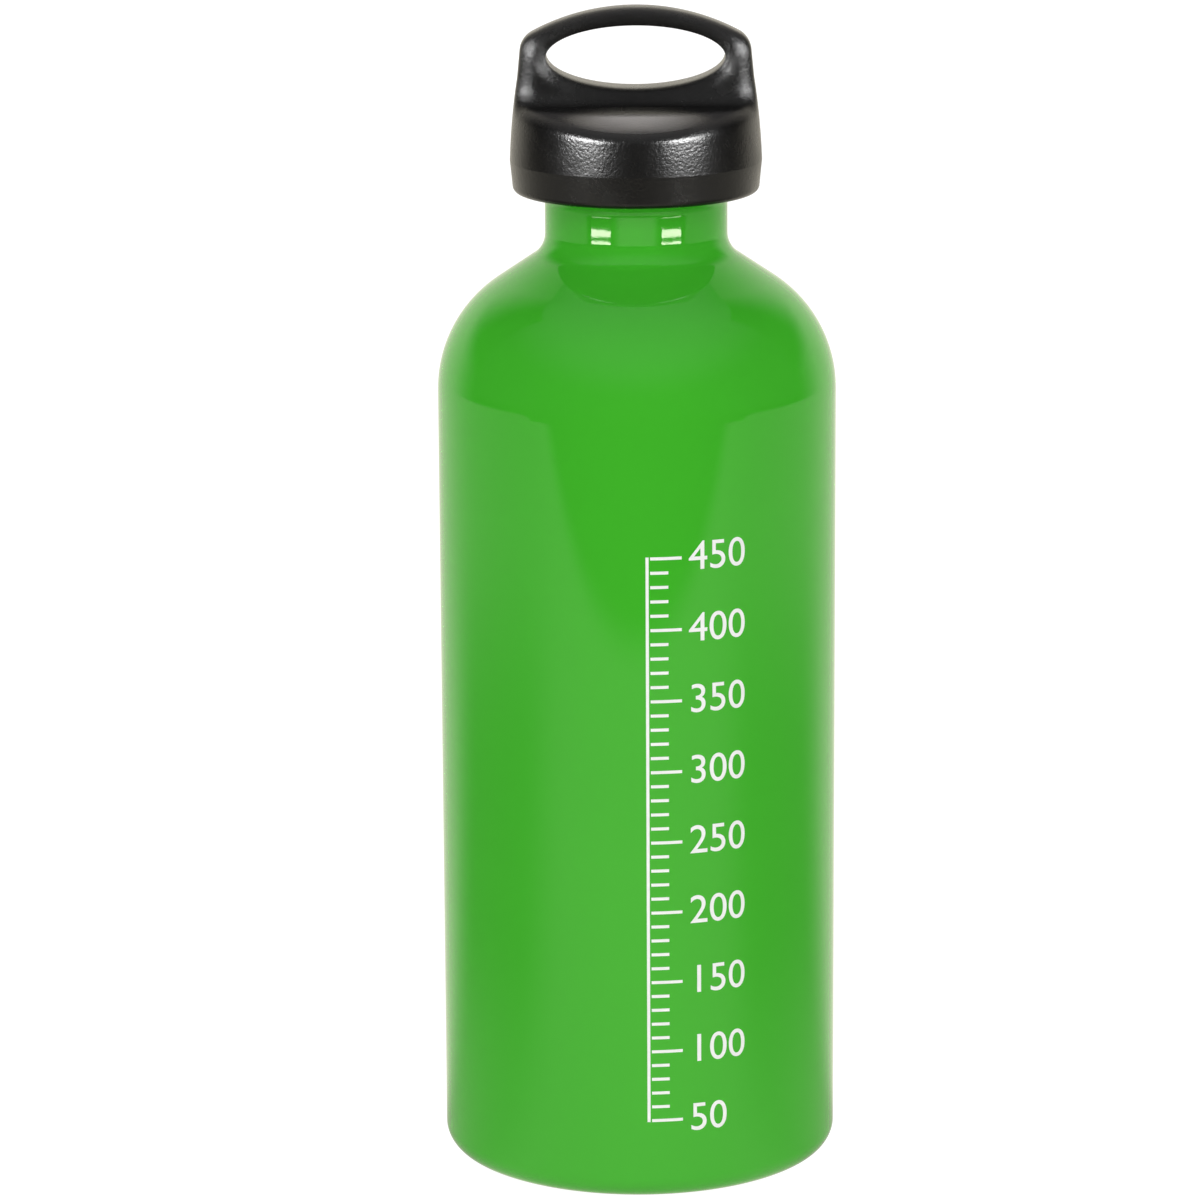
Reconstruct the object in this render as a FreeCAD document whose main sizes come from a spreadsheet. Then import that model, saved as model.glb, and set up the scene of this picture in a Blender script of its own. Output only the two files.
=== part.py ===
"""Camping fuel bottle with a push-and-turn safety cap, as a parametric document.

Lengths are in millimetres. The bottle stands on z = 0 with its axis on Z, and the
carrying loop of its cap lies in the XZ plane.
"""

import math
import os
import re

import FreeCAD
import Part
import Sketcher

# Driving sizes: each can be changed by itself
SIZES = (
    ("body_radius", 36.0, "outside of the straight body"),
    ("body_height", 142.5, "top of the straight body"),
    ("wall", 0.9, "sheet of the body, shoulder and collar"),
    ("base_wall", 1.3, "sheet of the base"),
    ("base_corner", 4.2, "round between base and body"),
    ("foot_width", 5.5, "flat ring that the bottle stands on"),
    ("base_rise", 3.2, "rise of the base inside the foot ring"),
    ("shoulder_radius", 23.7, "convex round of the shoulder"),
    ("cone_slope", 34.0, "cone between shoulder and throat, degrees from level"),
    ("throat_radius", 4.9, "concave round into the neck"),
    ("neck_radius", 16.4, "outside of the neck's waist"),
    ("waist_length", 5.2, "straight stretch of the waist"),
    ("collar_radius", 19.1, "outside of the collar"),
    ("collar_round", 0.4, "lower outer edge of the collar"),
    ("collar_height", 4.87, "collar from its underside to the rim"),
    ("lip_thickness", 1.0, "lip rolled over the thread ring"),
    ("lip_reach", 1.7, "how far the lip comes in over the ring"),
    ("lip_round", 0.8, "outer edge of the rim"),
    ("ring_fit", 0.05, "radial clearance of a ring in its seat"),
    ("thread_ring_wall", 2.6, "wall of the thread ring in the neck"),
    ("thread_ring_overhang", 1.0, "thread ring below the plug's end"),
    ("lead_in", 0.5, "chamfer at the ends of the thread"),
    ("thread_clearance", 0.1, "radial clearance of plug and thread ring"),
    ("seal_thickness", 1.6, "seal between rim and plug"),
    ("seal_clearance", 0.3, "seal to the plug's stem"),
    ("seal_width", 2.9, "seal from bore to outside"),
    ("seal_bulge", 0.35, "swell of the seal's squeezed sides"),
    ("flange_thickness", 2.0, "flange of the plug"),
    ("flange_clearance", 0.9, "flange to the skirt's bore"),
    ("stem_wall", 3.9, "wall of the plug's stem"),
    ("plug_floor", 2.0, "closed end of the plug"),
    ("vent_width", 2.4, "vent slot across the plug's thread"),
    ("vent_depth", 1.3, "depth of the vent slot"),
    ("vent_length", 8.0, "vent slot up from the plug's end"),
    ("tooth_count", 12, "teeth of the crown, and lugs of the cap"),
    ("tooth_height", 1.6, "height of a tooth"),
    ("tooth_width", 2.6, "width of a tooth or lug at its root"),
    ("tooth_draft", 0.35, "lean of each flank"),
    ("tooth_set", 2.5, "teeth outside the plug's well"),
    ("tooth_margin", 1.6, "teeth inside the flange's edge"),
    ("tooth_clearance", 0.3, "lugs above the teeth at rest"),
    ("mesh_clearance", 0.2, "lugs above the flange when pressed"),
    ("lug_height", 1.8, "height of a lug"),
    ("retaining_depth", 7.8, "retaining ring below the plug's top"),
    ("retaining_thickness", 1.2, "retaining ring along the axis"),
    ("retaining_play", 0.05, "retaining ring in its groove, each side"),
    ("retaining_gap", 40.0, "opening of the split ring in degrees"),
    ("groove_depth", 1.0, "groove of the retaining ring"),
    ("post_radius", 5.0, "post under the cap"),
    ("post_wall", 2.0, "wall of the hollow post"),
    ("post_clearance", 0.3, "post in the retaining ring"),
    ("post_roof", 2.3, "roof of the post's hollow below the cap's ceiling"),
    ("head_overlap", 2.2, "head of the post beyond the post"),
    ("head_thickness", 1.9, "head of the post along the axis"),
    ("head_play", 0.1, "head below the retaining ring at rest"),
    ("head_clearance", 1.4, "head above the well's floor when pressed"),
    ("spring_wire", 0.9, "wire of the press spring"),
    ("spring_turns", 5, "turns of the press spring"),
    ("spring_play", 0.05, "spring to its seats, each end"),
    ("skirt_clearance", 0.4, "skirt's bore outside the collar"),
    ("skirt_wall", 3.1, "skirt at its widest"),
    ("skirt_overlap", 4.9, "skirt below the rim"),
    ("skirt_round", 1.2, "lower outer edge of the skirt"),
    ("skirt_lead", 0.6, "chamfer inside the skirt's lower edge"),
    ("foot_band", 5.7, "crease of the skirt above its lower edge"),
    ("foot_taper", 0.45, "skirt's lower edge inside its crease"),
    ("skirt_swell", 125.0, "curve of the cap's sides above the crease"),
    ("swell_height", 15.0, "height of that curve"),
    ("step_clearance", 0.4, "outer ceiling above the flange when pressed"),
    ("step_margin", 0.6, "inner ceiling beyond the lugs"),
    ("top_wall", 4.0, "crown of the cap's top above its ceiling"),
    ("top_radius", 76.0, "curve of the cap's top across the loop"),
    ("loop_height", 17.0, "loop above the crown of the top"),
    ("loop_thickness", 8.4, "thickness of the loop"),
    ("loop_taper", 0.0974, "lean of the cap's sides, per unit of height"),
    ("loop_arch", 39.5, "curve along the top of the loop"),
    ("loop_corner", 3.8, "upper corners of the loop"),
    ("loop_root", 2.1, "hollow round between loop and top"),
    ("edge_round", 2.0, "outer edges of the loop and the top"),
    ("hole_width", 32.0, "oval finger hole along the loop"),
    ("hole_height", 11.4, "oval finger hole upwards"),
    ("hole_rise", 8.2, "centre of the hole above the crown of the top"),
    ("hole_round", 0.6, "edges of the hole"),
)

# Sizes that follow from the driving ones, in the order in which they build up
DERIVED = (
    ("foot_inner", "body_radius - base_corner - foot_width", "inner edge of the foot ring"),
    ("base_arch", "(foot_inner^2 + base_rise^2) / (2 * base_rise)", "curve of the base"),
    ("inner_corner", "base_corner - base_wall", "round inside the base"),
    ("shoulder_axis", "body_radius - shoulder_radius", "shoulder centre from the axis"),
    ("throat_axis", "neck_radius + throat_radius", "throat centre from the axis"),
    ("arc_sum", "shoulder_radius + throat_radius", "both rounds at the cone's ends"),
    ("cone_reach", "shoulder_axis + arc_sum * sin(cone_slope) - throat_axis", "cone across"),
    ("cone_rise", "cone_reach * tan(cone_slope)", "cone upwards"),
    ("throat_height", "body_height + arc_sum * cos(cone_slope) + cone_rise", "foot of the waist"),
    ("neck_bore", "neck_radius - wall", "inside of the neck"),
    ("waist_top", "throat_height + waist_length", "upper end of the waist"),
    ("flare_radius", "collar_radius - collar_round - neck_radius", "round under the collar"),
    ("collar_floor", "waist_top + flare_radius", "underside of the collar"),
    ("collar_bore", "collar_radius - wall", "inside of the collar"),
    ("ring_seat", "collar_floor + wall", "shelf under the thread ring"),
    ("rim_height", "collar_floor + collar_height", "rim that the seal lies on"),
    ("lip_floor", "rim_height - lip_thickness", "underside of the lip"),
    ("lip_bore", "collar_bore - lip_reach", "inner edge of the lip"),
    ("thread_bore", "neck_bore - ring_fit - thread_ring_wall", "mean radius of the thread"),
    ("stem_radius", "thread_bore - thread_clearance", "stem of the plug"),
    ("seal_bore", "stem_radius + seal_clearance", "bore of the seal"),
    ("seal_curve", "(seal_bulge^2 + (seal_thickness / 2)^2) / (2 * seal_bulge)", "its sides"),
    ("flange_bottom", "rim_height + seal_thickness", "underside of the flange"),
    ("flange_top", "flange_bottom + flange_thickness", "top of the flange"),
    ("press_travel", "tooth_height + tooth_clearance - mesh_clearance", "stroke of the cap"),
    ("lug_tip", "flange_top + tooth_height + tooth_clearance", "lower ends of the lugs"),
    ("ceiling", "lug_tip + lug_height", "inner ceiling of the cap"),
    ("step_height", "flange_top + press_travel + step_clearance", "outer ceiling of the cap"),
    ("well_radius", "stem_radius - stem_wall", "well in the plug"),
    ("groove_radius", "well_radius + groove_depth", "groove of the retaining ring"),
    ("retaining_top", "flange_top - retaining_depth", "top of the retaining ring"),
    ("retaining_bottom", "retaining_top - retaining_thickness", "its underside"),
    ("head_top", "retaining_bottom - head_play", "top of the post's head"),
    ("head_bottom", "head_top - head_thickness", "underside of the post's head"),
    ("head_radius", "post_radius + head_overlap", "outside of the post's head"),
    ("well_floor", "head_bottom - press_travel - head_clearance", "floor of the plug's well"),
    ("stem_bottom", "well_floor - plug_floor", "lower end of the plug"),
    ("skirt_bore", "collar_radius + skirt_clearance", "inside of the skirt"),
    ("skirt_bottom", "rim_height - skirt_overlap", "lower edge of the skirt"),
    ("crease_radius", "skirt_bore + skirt_wall", "skirt at its crease"),
    ("crease_height", "skirt_bottom + foot_band", "height of the crease"),
    ("foot_radius", "crease_radius - foot_taper", "skirt at its lower edge"),
    ("flange_radius", "skirt_bore - flange_clearance", "flange of the plug"),
    ("tooth_inner", "well_radius + tooth_set", "inner ends of the teeth"),
    ("tooth_outer", "flange_radius - tooth_margin", "outer ends of the teeth"),
    ("step_radius", "tooth_outer + step_margin", "edge of the inner ceiling"),
    ("crown_height", "ceiling + top_wall", "crown of the cap's top"),
    ("overall_height", "crown_height + loop_height", "top of the loop"),
    ("hole_height_mid", "crown_height + hole_rise", "centre of the hole"),
    ("loop_half", "loop_thickness / 2", "half the loop's thickness"),
    ("lean", "sqrt(1 + loop_taper^2)", "slope length of the cap's sides"),
    ("arch_height", "overall_height - loop_arch", "centre of the loop's arch"),
    ("corner_reach", "crease_radius - loop_corner / lean", "corner centre's start, across"),
    ("corner_drop", "crease_height - loop_corner * loop_taper / lean - arch_height", "and up"),
    ("corner_along", "(corner_drop - loop_taper * corner_reach) / lean", "and along the side"),
    ("corner_room", "(loop_arch - loop_corner)^2 - corner_reach^2 - corner_drop^2", "its room"),
    ("side_run", "sqrt(corner_along^2 + corner_room) - corner_along", "side up to the corner"),
    ("swell_x", "crease_radius - loop_taper * swell_height", "upper end of the curved side"),
    ("swell_z", "crease_height + swell_height", "its height"),
    ("side_x", "crease_radius - loop_taper * side_run / lean", "upper end of the side"),
    ("side_z", "crease_height + side_run / lean", "its height"),
    ("arch_share", "loop_arch / (loop_arch - loop_corner)", "corner centre to arch"),
    ("arch_x", "(side_x - loop_corner / lean) * arch_share", "end of the arch"),
    ("arch_drop", "side_z - loop_corner * loop_taper / lean - arch_height", "corner over centre"),
    ("arch_z", "arch_height + arch_drop * arch_share", "its height"),
    ("top_centre", "crown_height - top_radius", "centre of the top's curve"),
    ("root_axis", "loop_half + loop_root", "centre of the hollow round"),
    ("root_rise", "sqrt((top_radius + loop_root)^2 - root_axis^2)", "above the top's centre"),
    ("root_share", "top_radius / (top_radius + loop_root)", "where hollow round and top meet"),
    ("cut_edge", "crease_radius + edge_round", "outer end of the cuts beside the loop"),
    ("cut_top", "overall_height + edge_round", "upper end of those cuts"),
    ("cut_floor", "top_centre + sqrt(top_radius^2 - cut_edge^2)", "top's curve at that end"),
)

# Tolerances for telling edges apart, and points for measuring the coil
NEAR = 0.01
STRAIGHT = 0.001
GAP_SAMPLES = 400

doc = FreeCAD.newDocument("fuel_bottle")
sheet = doc.addObject("Spreadsheet::Sheet", "sizes")


def fill_sheet():
    """Write every size into the sheet, one aliased cell each."""
    for row, (alias, content, note) in enumerate(SIZES + DERIVED, start=1):
        sheet.set(f"A{row}", alias.replace("_", " "))
        sheet.set(f"B{row}", f"={content}" if isinstance(content, str) else str(content))
        sheet.set(f"C{row}", note)
        sheet.setAlias(f"B{row}", alias)
    doc.recompute()


fill_sheet()
ALIASES = {alias for alias, _, _ in SIZES + DERIVED}


def bound(formula):
    """The formula as an expression that other objects can use."""
    return re.sub(r"[a-z_]+", lambda m: f"sizes.{m[0]}" if m[0] in ALIASES else m[0], formula)


def size(formula):
    """The formula's value on the sheet now."""
    return float(sheet.evalExpression(bound(formula)))


def bind(feature, **properties):
    """Tie a feature's properties to formulas."""
    for name, formula in properties.items():
        feature.setExpression(name, bound(formula))


def origin(body, role):
    """One of a body's own planes or axes."""
    return next(o for o in body.Origin.OriginFeatures if o.Role == role)


def new_body(name):
    return doc.addObject("PartDesign::Body", name)


def new_sketch(body, name, plane, offset="0", turn="0"):
    """Empty sketch on one of the body's planes.

    The offset moves it along the plane's normal, after a turn in degrees about the
    sketch's upright axis.
    """
    sketch = body.newObject("Sketcher::SketchObject", name)
    sketch.AttachmentSupport = [(origin(body, plane), "")]
    sketch.MapMode = "FlatFace"
    sketch.AttachmentOffset = FreeCAD.Placement(
        FreeCAD.Vector(0, 0, 0), FreeCAD.Rotation(FreeCAD.Vector(0, 1, 0), 1)
    )
    sketch.setExpression("AttachmentOffset.Rotation.Angle", bound(turn))
    sketch.setExpression("AttachmentOffset.Base.x", bound(f"({offset}) * sin({turn})"))
    sketch.setExpression("AttachmentOffset.Base.z", bound(f"({offset}) * cos({turn})"))
    return sketch


def hold(sketch, kind, *where, formula):
    """Add a dimension to a sketch and tie it to a formula."""
    number = sketch.addConstraint(Sketcher.Constraint(kind, *where, size(formula)))
    sketch.setExpression(f"Constraints[{number}]", bound(formula))


def edge_between(start, end, turn=None, radius=None):
    """Line from start to end, or the short arc that turns left or right on its way."""
    if turn is None:
        return Part.LineSegment(start, end)
    chord = end - start
    rise = math.sqrt(max(radius**2 - chord.Length**2 / 4, 0))
    across = FreeCAD.Vector(-chord.y, chord.x, 0).normalize()
    centre = (start + end) / 2 + across * (rise if turn == "left" else -rise)
    first, last = (start, end) if turn == "left" else (end, start)
    angles = [math.atan2(p.y - centre.y, p.x - centre.x) for p in (first, last)]
    circle = Part.Circle(centre, FreeCAD.Vector(0, 0, 1), radius)
    return Part.ArcOfCircle(circle, *angles)


def draw(sketch, outline):
    """Add a closed outline to a sketch.

    Each entry is a corner as two formulas. With a turn and a radius after them, the
    edge that leaves the corner is an arc, and otherwise it is straight.
    """
    points = [FreeCAD.Vector(size(entry[0]), size(entry[1]), 0) for entry in outline]
    ends = []
    for i, entry in enumerate(outline):
        turn, radius = entry[2:] if len(entry) == 4 else (None, None)
        start, end = points[i], points[(i + 1) % len(points)]
        edge = edge_between(start, end, turn, size(radius) if radius else None)
        geo = sketch.addGeometry(edge, False)
        ends.append((geo, 2, 1) if turn == "right" else (geo, 1, 2))
        if radius:
            hold(sketch, "Radius", geo, formula=radius)
    for i, (geo, first, _) in enumerate(ends):
        before, _, last = ends[i - 1]
        sketch.addConstraint(Sketcher.Constraint("Coincident", before, last, geo, first))
        for axis, kind, formula in ((-2, "DistanceX", outline[i][0]), (-1, "DistanceY", outline[i][1])):
            if formula == "0":
                sketch.addConstraint(Sketcher.Constraint("PointOnObject", geo, first, axis))
            else:
                hold(sketch, kind, -1, 1, geo, first, formula=formula)
    return sketch


def revolve(body, outline, angle="360"):
    """Turn an outline in the XZ plane about the body's Z axis."""
    sketch = draw(new_sketch(body, f"{body.Name}_section", "XZ_Plane"), outline)
    turned = body.newObject("PartDesign::Revolution", f"{body.Name}_turned")
    turned.Profile = sketch
    turned.ReferenceAxis = (origin(body, "Z_Axis"), [""])
    bind(turned, Angle=angle)
    return turned


def crown(body, name, base, height, sign, turn="0"):
    """Ring of teeth with leaning flanks, standing up (sign +) or hanging down (sign -)."""
    sketch = draw(
        new_sketch(body, f"{name}_outline", "XZ_Plane", "tooth_inner", turn),
        (
            ("-tooth_width / 2", base),
            ("tooth_width / 2", base),
            ("tooth_width / 2 - tooth_draft", f"{base} {sign} {height}"),
            ("tooth_draft - tooth_width / 2", f"{base} {sign} {height}"),
        ),
    )
    tooth = body.newObject("PartDesign::Pad", name)
    tooth.Profile = sketch
    bind(tooth, Length="tooth_outer - tooth_inner")
    ring = body.newObject("PartDesign::PolarPattern", f"{name}_ring")
    ring.Originals = [tooth]
    ring.Axis = (origin(body, "Z_Axis"), [""])
    ring.Angle = 360
    bind(ring, Occurrences="tooth_count")
    body.Tip = ring
    return ring


def round_edges(body, name, base, radius, wanted):
    """Round the edges of a feature whose middle points are wanted."""
    doc.recompute()
    names = []
    for number, edge in enumerate(base.Shape.Edges, start=1):
        middle = edge.valueAt((edge.FirstParameter + edge.LastParameter) / 2)
        if wanted(edge, middle):
            names.append(f"Edge{number}")
    rounded = body.newObject("PartDesign::Fillet", name)
    rounded.Base = (base, names)
    bind(rounded, Radius=radius)
    return rounded


def make_bottle_shell():
    """Drawn aluminium bottle: one sheet from the domed base to the rolled lip."""
    body = new_body("bottle_shell")
    cone_foot = "shoulder_axis + ({0}) * sin(cone_slope)", "body_height + ({0}) * cos(cone_slope)"
    cone_top = "throat_axis - ({0}) * sin(cone_slope)", "throat_height - ({0}) * cos(cone_slope)"
    inner_shoulder, inner_throat = "shoulder_radius - wall", "throat_radius + wall"
    outside = (
        ("0", "base_rise", "right", "base_arch"),
        ("foot_inner", "0"),
        ("body_radius - base_corner", "0", "left", "base_corner"),
        ("body_radius", "base_corner"),
        ("body_radius", "body_height", "left", "shoulder_radius"),
        tuple(f.format("shoulder_radius") for f in cone_foot),
        (*(f.format("throat_radius") for f in cone_top), "right", "throat_radius"),
        ("neck_radius", "throat_height"),
        ("neck_radius", "waist_top", "right", "flare_radius"),
        ("collar_radius - collar_round", "collar_floor", "left", "collar_round"),
        ("collar_radius", "collar_floor + collar_round"),
        ("collar_radius", "rim_height - lip_round", "left", "lip_round"),
        ("collar_radius - lip_round", "rim_height"),
    )
    inside = (
        ("lip_bore", "rim_height"),
        ("lip_bore", "lip_floor"),
        ("collar_bore", "lip_floor"),
        ("collar_bore", "ring_seat"),
        ("neck_bore", "ring_seat"),
        ("neck_bore", "throat_height", "left", inner_throat),
        tuple(f.format(inner_throat) for f in cone_top),
        (*(f.format(inner_shoulder) for f in cone_foot), "right", inner_shoulder),
        ("body_radius - wall", "body_height"),
        ("body_radius - wall", "base_wall + inner_corner", "right", "inner_corner"),
        ("body_radius - wall - inner_corner", "base_wall"),
        ("foot_inner", "base_wall", "left", "base_arch"),
        ("0", "base_rise + base_wall"),
    )
    revolve(body, outside + inside)
    return body


def make_neck_thread_ring():
    """Turned ring with the inner thread, its flange trapped between shelf and lip."""
    body = new_body("neck_thread_ring")
    end = "stem_bottom - thread_ring_overhang"
    revolve(
        body,
        (
            ("thread_bore + lead_in", end),
            ("neck_bore - ring_fit", end),
            ("neck_bore - ring_fit", "ring_seat"),
            ("collar_bore - ring_fit", "ring_seat"),
            ("collar_bore - ring_fit", "lip_floor"),
            ("lip_bore - ring_fit", "lip_floor"),
            ("lip_bore - ring_fit", "rim_height"),
            ("thread_bore + lead_in", "rim_height"),
            ("thread_bore", "rim_height - lead_in"),
            ("thread_bore", f"{end} + lead_in"),
        ),
    )
    return body


def make_seal_ring():
    """Rubber ring, flat where the rim and the plug squeeze it and swollen at its sides."""
    body = new_body("seal_ring")
    inner, outer = "seal_bore + seal_bulge", "seal_bore + seal_width - seal_bulge"
    revolve(
        body,
        (
            (inner, "rim_height"),
            (outer, "rim_height", "left", "seal_curve"),
            (outer, "flange_bottom"),
            (inner, "flange_bottom", "left", "seal_curve"),
        ),
    )
    return body


def make_inner_plug():
    """Moulded plug: closed stem with a well, a flange, a crown of teeth and a vent slot."""
    body = new_body("inner_plug")
    revolve(
        body,
        (
            ("0", "stem_bottom"),
            ("stem_radius - lead_in", "stem_bottom"),
            ("stem_radius", "stem_bottom + lead_in"),
            ("stem_radius", "flange_bottom"),
            ("flange_radius", "flange_bottom"),
            ("flange_radius", "flange_top"),
            ("well_radius", "flange_top"),
            ("well_radius", "retaining_top + retaining_play"),
            ("groove_radius", "retaining_top + retaining_play"),
            ("groove_radius", "retaining_bottom - retaining_play"),
            ("well_radius", "retaining_bottom - retaining_play"),
            ("well_radius", "well_floor"),
            ("0", "well_floor"),
        ),
    )
    slot = body.newObject("PartDesign::Pocket", "vent_slot")
    slot.Profile = draw(
        new_sketch(body, "vent_outline", "XY_Plane", "stem_bottom"),
        (
            ("-vent_width / 2", "stem_radius - vent_depth"),
            ("vent_width / 2", "stem_radius - vent_depth"),
            ("vent_width / 2", "stem_radius + vent_depth"),
            ("-vent_width / 2", "stem_radius + vent_depth"),
        ),
    )
    slot.Reversed = True
    bind(slot, Length="vent_length")
    crown(body, "tooth", "flange_top", "tooth_height", "+")
    return body


def make_retaining_ring():
    """Split ring that snaps into the plug's well over the head of the cap's post."""
    body = new_body("retaining_ring")
    inner, outer = "post_radius + post_clearance", "groove_radius - ring_fit"
    revolve(
        body,
        (
            (inner, "retaining_bottom"),
            (outer, "retaining_bottom"),
            (outer, "retaining_top"),
            (inner, "retaining_top"),
        ),
        "360 - retaining_gap",
    )
    return body


def biarc(start, start_way, end, end_way):
    """Two arcs that leave start and reach end along the given unit directions."""
    chord, ways = end - start, start_way + end_way
    spread = 2 * (1 - start_way.dot(end_way))
    along = chord.dot(ways)
    reach = (math.sqrt(along**2 + spread * chord.dot(chord)) - along) / spread
    joint = (start + start_way * reach + end - end_way * reach) / 2
    arcs = []
    for tail, way, head in ((start, start_way, joint), (joint, None, end)):
        if way is None:
            way = (joint - start - start_way * reach).normalize()
        line = head - tail
        unit = line / line.Length
        side = way - unit * way.dot(unit)
        angle = math.acos(min(1.0, way.dot(unit)))
        bulge = line.Length / 2 * math.tan(angle / 2)
        arcs.append(Part.Arc(tail, (tail + head) / 2 + side.normalize() * bulge, head).toShape())
    return arcs


def make_press_spring():
    """Open coil round the post, from the retaining ring to the cap's ceiling."""
    wire = size("spring_wire")
    turns = size("spring_turns")
    radius = size("(post_radius + well_radius) / 2")
    low = size("retaining_top + spring_play + spring_wire / 2")
    high = size("ceiling - spring_play - spring_wire / 2")
    pitch = (high - low) / turns

    def point(turn):
        angle = 2 * math.pi * turn
        return FreeCAD.Vector(radius * math.cos(angle), radius * math.sin(angle), low + pitch * turn)

    def way(turn):
        angle = 2 * math.pi * turn
        round_way = 2 * math.pi * radius
        return FreeCAD.Vector(-round_way * math.sin(angle), round_way * math.cos(angle), pitch).normalize()

    steps = [turns * i / math.ceil(turns * 4) for i in range(math.ceil(turns * 4) + 1)]
    edges = []
    for a, b in zip(steps, steps[1:]):
        edges += biarc(point(a), way(a), point(b), way(b))
    section = Part.Wire(Part.makeCircle(wire / 2, point(0), way(0)))
    coil = Part.Wire(edges).makePipeShell([section], True, False)
    line = [point(turns * i / GAP_SAMPLES) for i in range(GAP_SAMPLES + 1)]
    ahead = math.ceil(GAP_SAMPLES / turns / 2)
    gap = min((p - q).Length for i, p in enumerate(line) for q in line[i + ahead :]) - wire
    print(f"press_spring: least gap between turns {gap:.2f} mm")
    spring = doc.addObject("Part::Feature", "press_spring")
    spring.Shape = coil
    return spring


def make_outer_cap():
    """Moulded cap: bell with skirt and post, cut away on both sides of the loop."""
    body = new_body("outer_cap")
    bore, roof = "post_radius - post_wall", "ceiling - post_roof"
    revolve(
        body,
        (
            ("0", roof),
            (bore, roof),
            (bore, "head_bottom"),
            ("head_radius", "head_bottom"),
            ("head_radius", "head_top"),
            ("post_radius", "head_top"),
            ("post_radius", "ceiling"),
            ("step_radius", "ceiling"),
            ("step_radius", "step_height"),
            ("skirt_bore", "step_height"),
            ("skirt_bore", "skirt_bottom + skirt_lead"),
            ("skirt_bore + skirt_lead", "skirt_bottom"),
            ("foot_radius - skirt_round", "skirt_bottom", "left", "skirt_round"),
            ("foot_radius", "skirt_bottom + skirt_round"),
            ("crease_radius", "crease_height", "left", "skirt_swell"),
            ("swell_x", "swell_z"),
            ("side_x", "side_z", "left", "loop_corner"),
            ("arch_x", "arch_z", "left", "loop_arch"),
            ("0", "overall_height"),
        ),
    )
    cuts = body.newObject("PartDesign::Pocket", "loop_sides")
    sides = new_sketch(body, "loop_sides_outline", "YZ_Plane")
    meet = "root_axis * root_share", "top_centre + root_rise * root_share"
    draw(
        sides,
        (
            ("loop_half", "cut_top"),
            ("loop_half", "top_centre + root_rise", "left", "loop_root"),
            (*meet, "right", "top_radius"),
            ("cut_edge", "cut_floor"),
            ("cut_edge", "cut_top"),
        ),
    )
    draw(
        sides,
        (
            ("-loop_half", "cut_top"),
            ("-cut_edge", "cut_top"),
            ("-cut_edge", "cut_floor", "right", "top_radius"),
            (f"-{meet[0]}", meet[1], "left", "loop_root"),
            ("-loop_half", "top_centre + root_rise"),
        ),
    )
    cuts.Profile = sides
    cuts.Type = "ThroughAll"
    cuts.Midplane = True

    floor = size("cut_floor")
    beside = size("loop_half") - NEAR

    def rim(edge, middle):
        chord = (edge.Vertexes[0].Point - edge.Vertexes[-1].Point).Length
        curved = edge.Length > chord + STRAIGHT
        return curved and middle.z > floor and abs(middle.y) > beside

    round_edges(body, "outer_edges", cuts, "edge_round", rim)

    hole = body.newObject("PartDesign::Pocket", "finger_hole")
    oval = new_sketch(body, "finger_hole_outline", "XZ_Plane")
    centre = FreeCAD.Vector(0, size("hole_height_mid"), 0)
    across = FreeCAD.Vector(size("hole_width / 2"), 0, 0)
    up = FreeCAD.Vector(0, size("hole_height / 2"), 0)
    geo = oval.addGeometry(Part.Ellipse(centre + across, centre + up, centre), False)
    oval.exposeInternalGeometry(geo)
    oval.addConstraint(Sketcher.Constraint("PointOnObject", geo, 3, -2))
    hold(oval, "DistanceY", -1, 1, geo, 3, formula="hole_height_mid")
    oval.addConstraint(Sketcher.Constraint("Horizontal", geo + 1))
    hold(oval, "Distance", geo + 1, formula="hole_width")
    hold(oval, "Distance", geo + 2, formula="hole_height")
    hole.Profile = oval
    hole.Type = "ThroughAll"
    hole.Midplane = True

    middle_height, half_width = size("hole_height_mid"), size("hole_width / 2")
    half_height = size("hole_height / 2")

    def hole_edge(edge, middle):
        height = (middle.z - middle_height) / half_height
        on_oval = abs((middle.x / half_width) ** 2 + height**2 - 1) < NEAR
        return on_oval and abs(middle.y) > beside

    softened = round_edges(body, "hole_edges", hole, "hole_round", hole_edge)
    body.Tip = softened
    crown(body, "lug", "ceiling", "lug_height", "-", "180 / tooth_count")
    return body


def report(node):
    """Stop at anything that did not build, and say what did."""
    shape = node.Shape
    if not shape.isValid() or shape.isNull():
        raise RuntimeError(f"{node.Name}: no valid solid")
    box = shape.BoundBox
    print(
        f"{node.Name}: {len(shape.Solids)} solid, {shape.Volume / 1000:.2f} cm3,"
        f" z {box.ZMin:.2f} to {box.ZMax:.2f}"
    )


NODES = [
    make_bottle_shell(),
    make_neck_thread_ring(),
    make_seal_ring(),
    make_inner_plug(),
    make_retaining_ring(),
    make_press_spring(),
    make_outer_cap(),
]
doc.recompute()
for thing in doc.Objects:
    if "Invalid" in thing.State or "Error" in thing.State:
        raise RuntimeError(f"{thing.Name}: {thing.State}")

os.makedirs("parts", exist_ok=True)
for node in NODES:
    report(node)
    node.Shape.exportStep(f"parts/{node.Name}.step")
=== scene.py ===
"""Camping fuel bottle: the finished looks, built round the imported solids.

Lengths are in metres, in the solids' own frame: the bottle stands on z = 0 with its
axis on Z, and the photograph looks along +Y.
"""

import math

import bmesh
import bpy
from mathutils import Matrix, Vector


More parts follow.
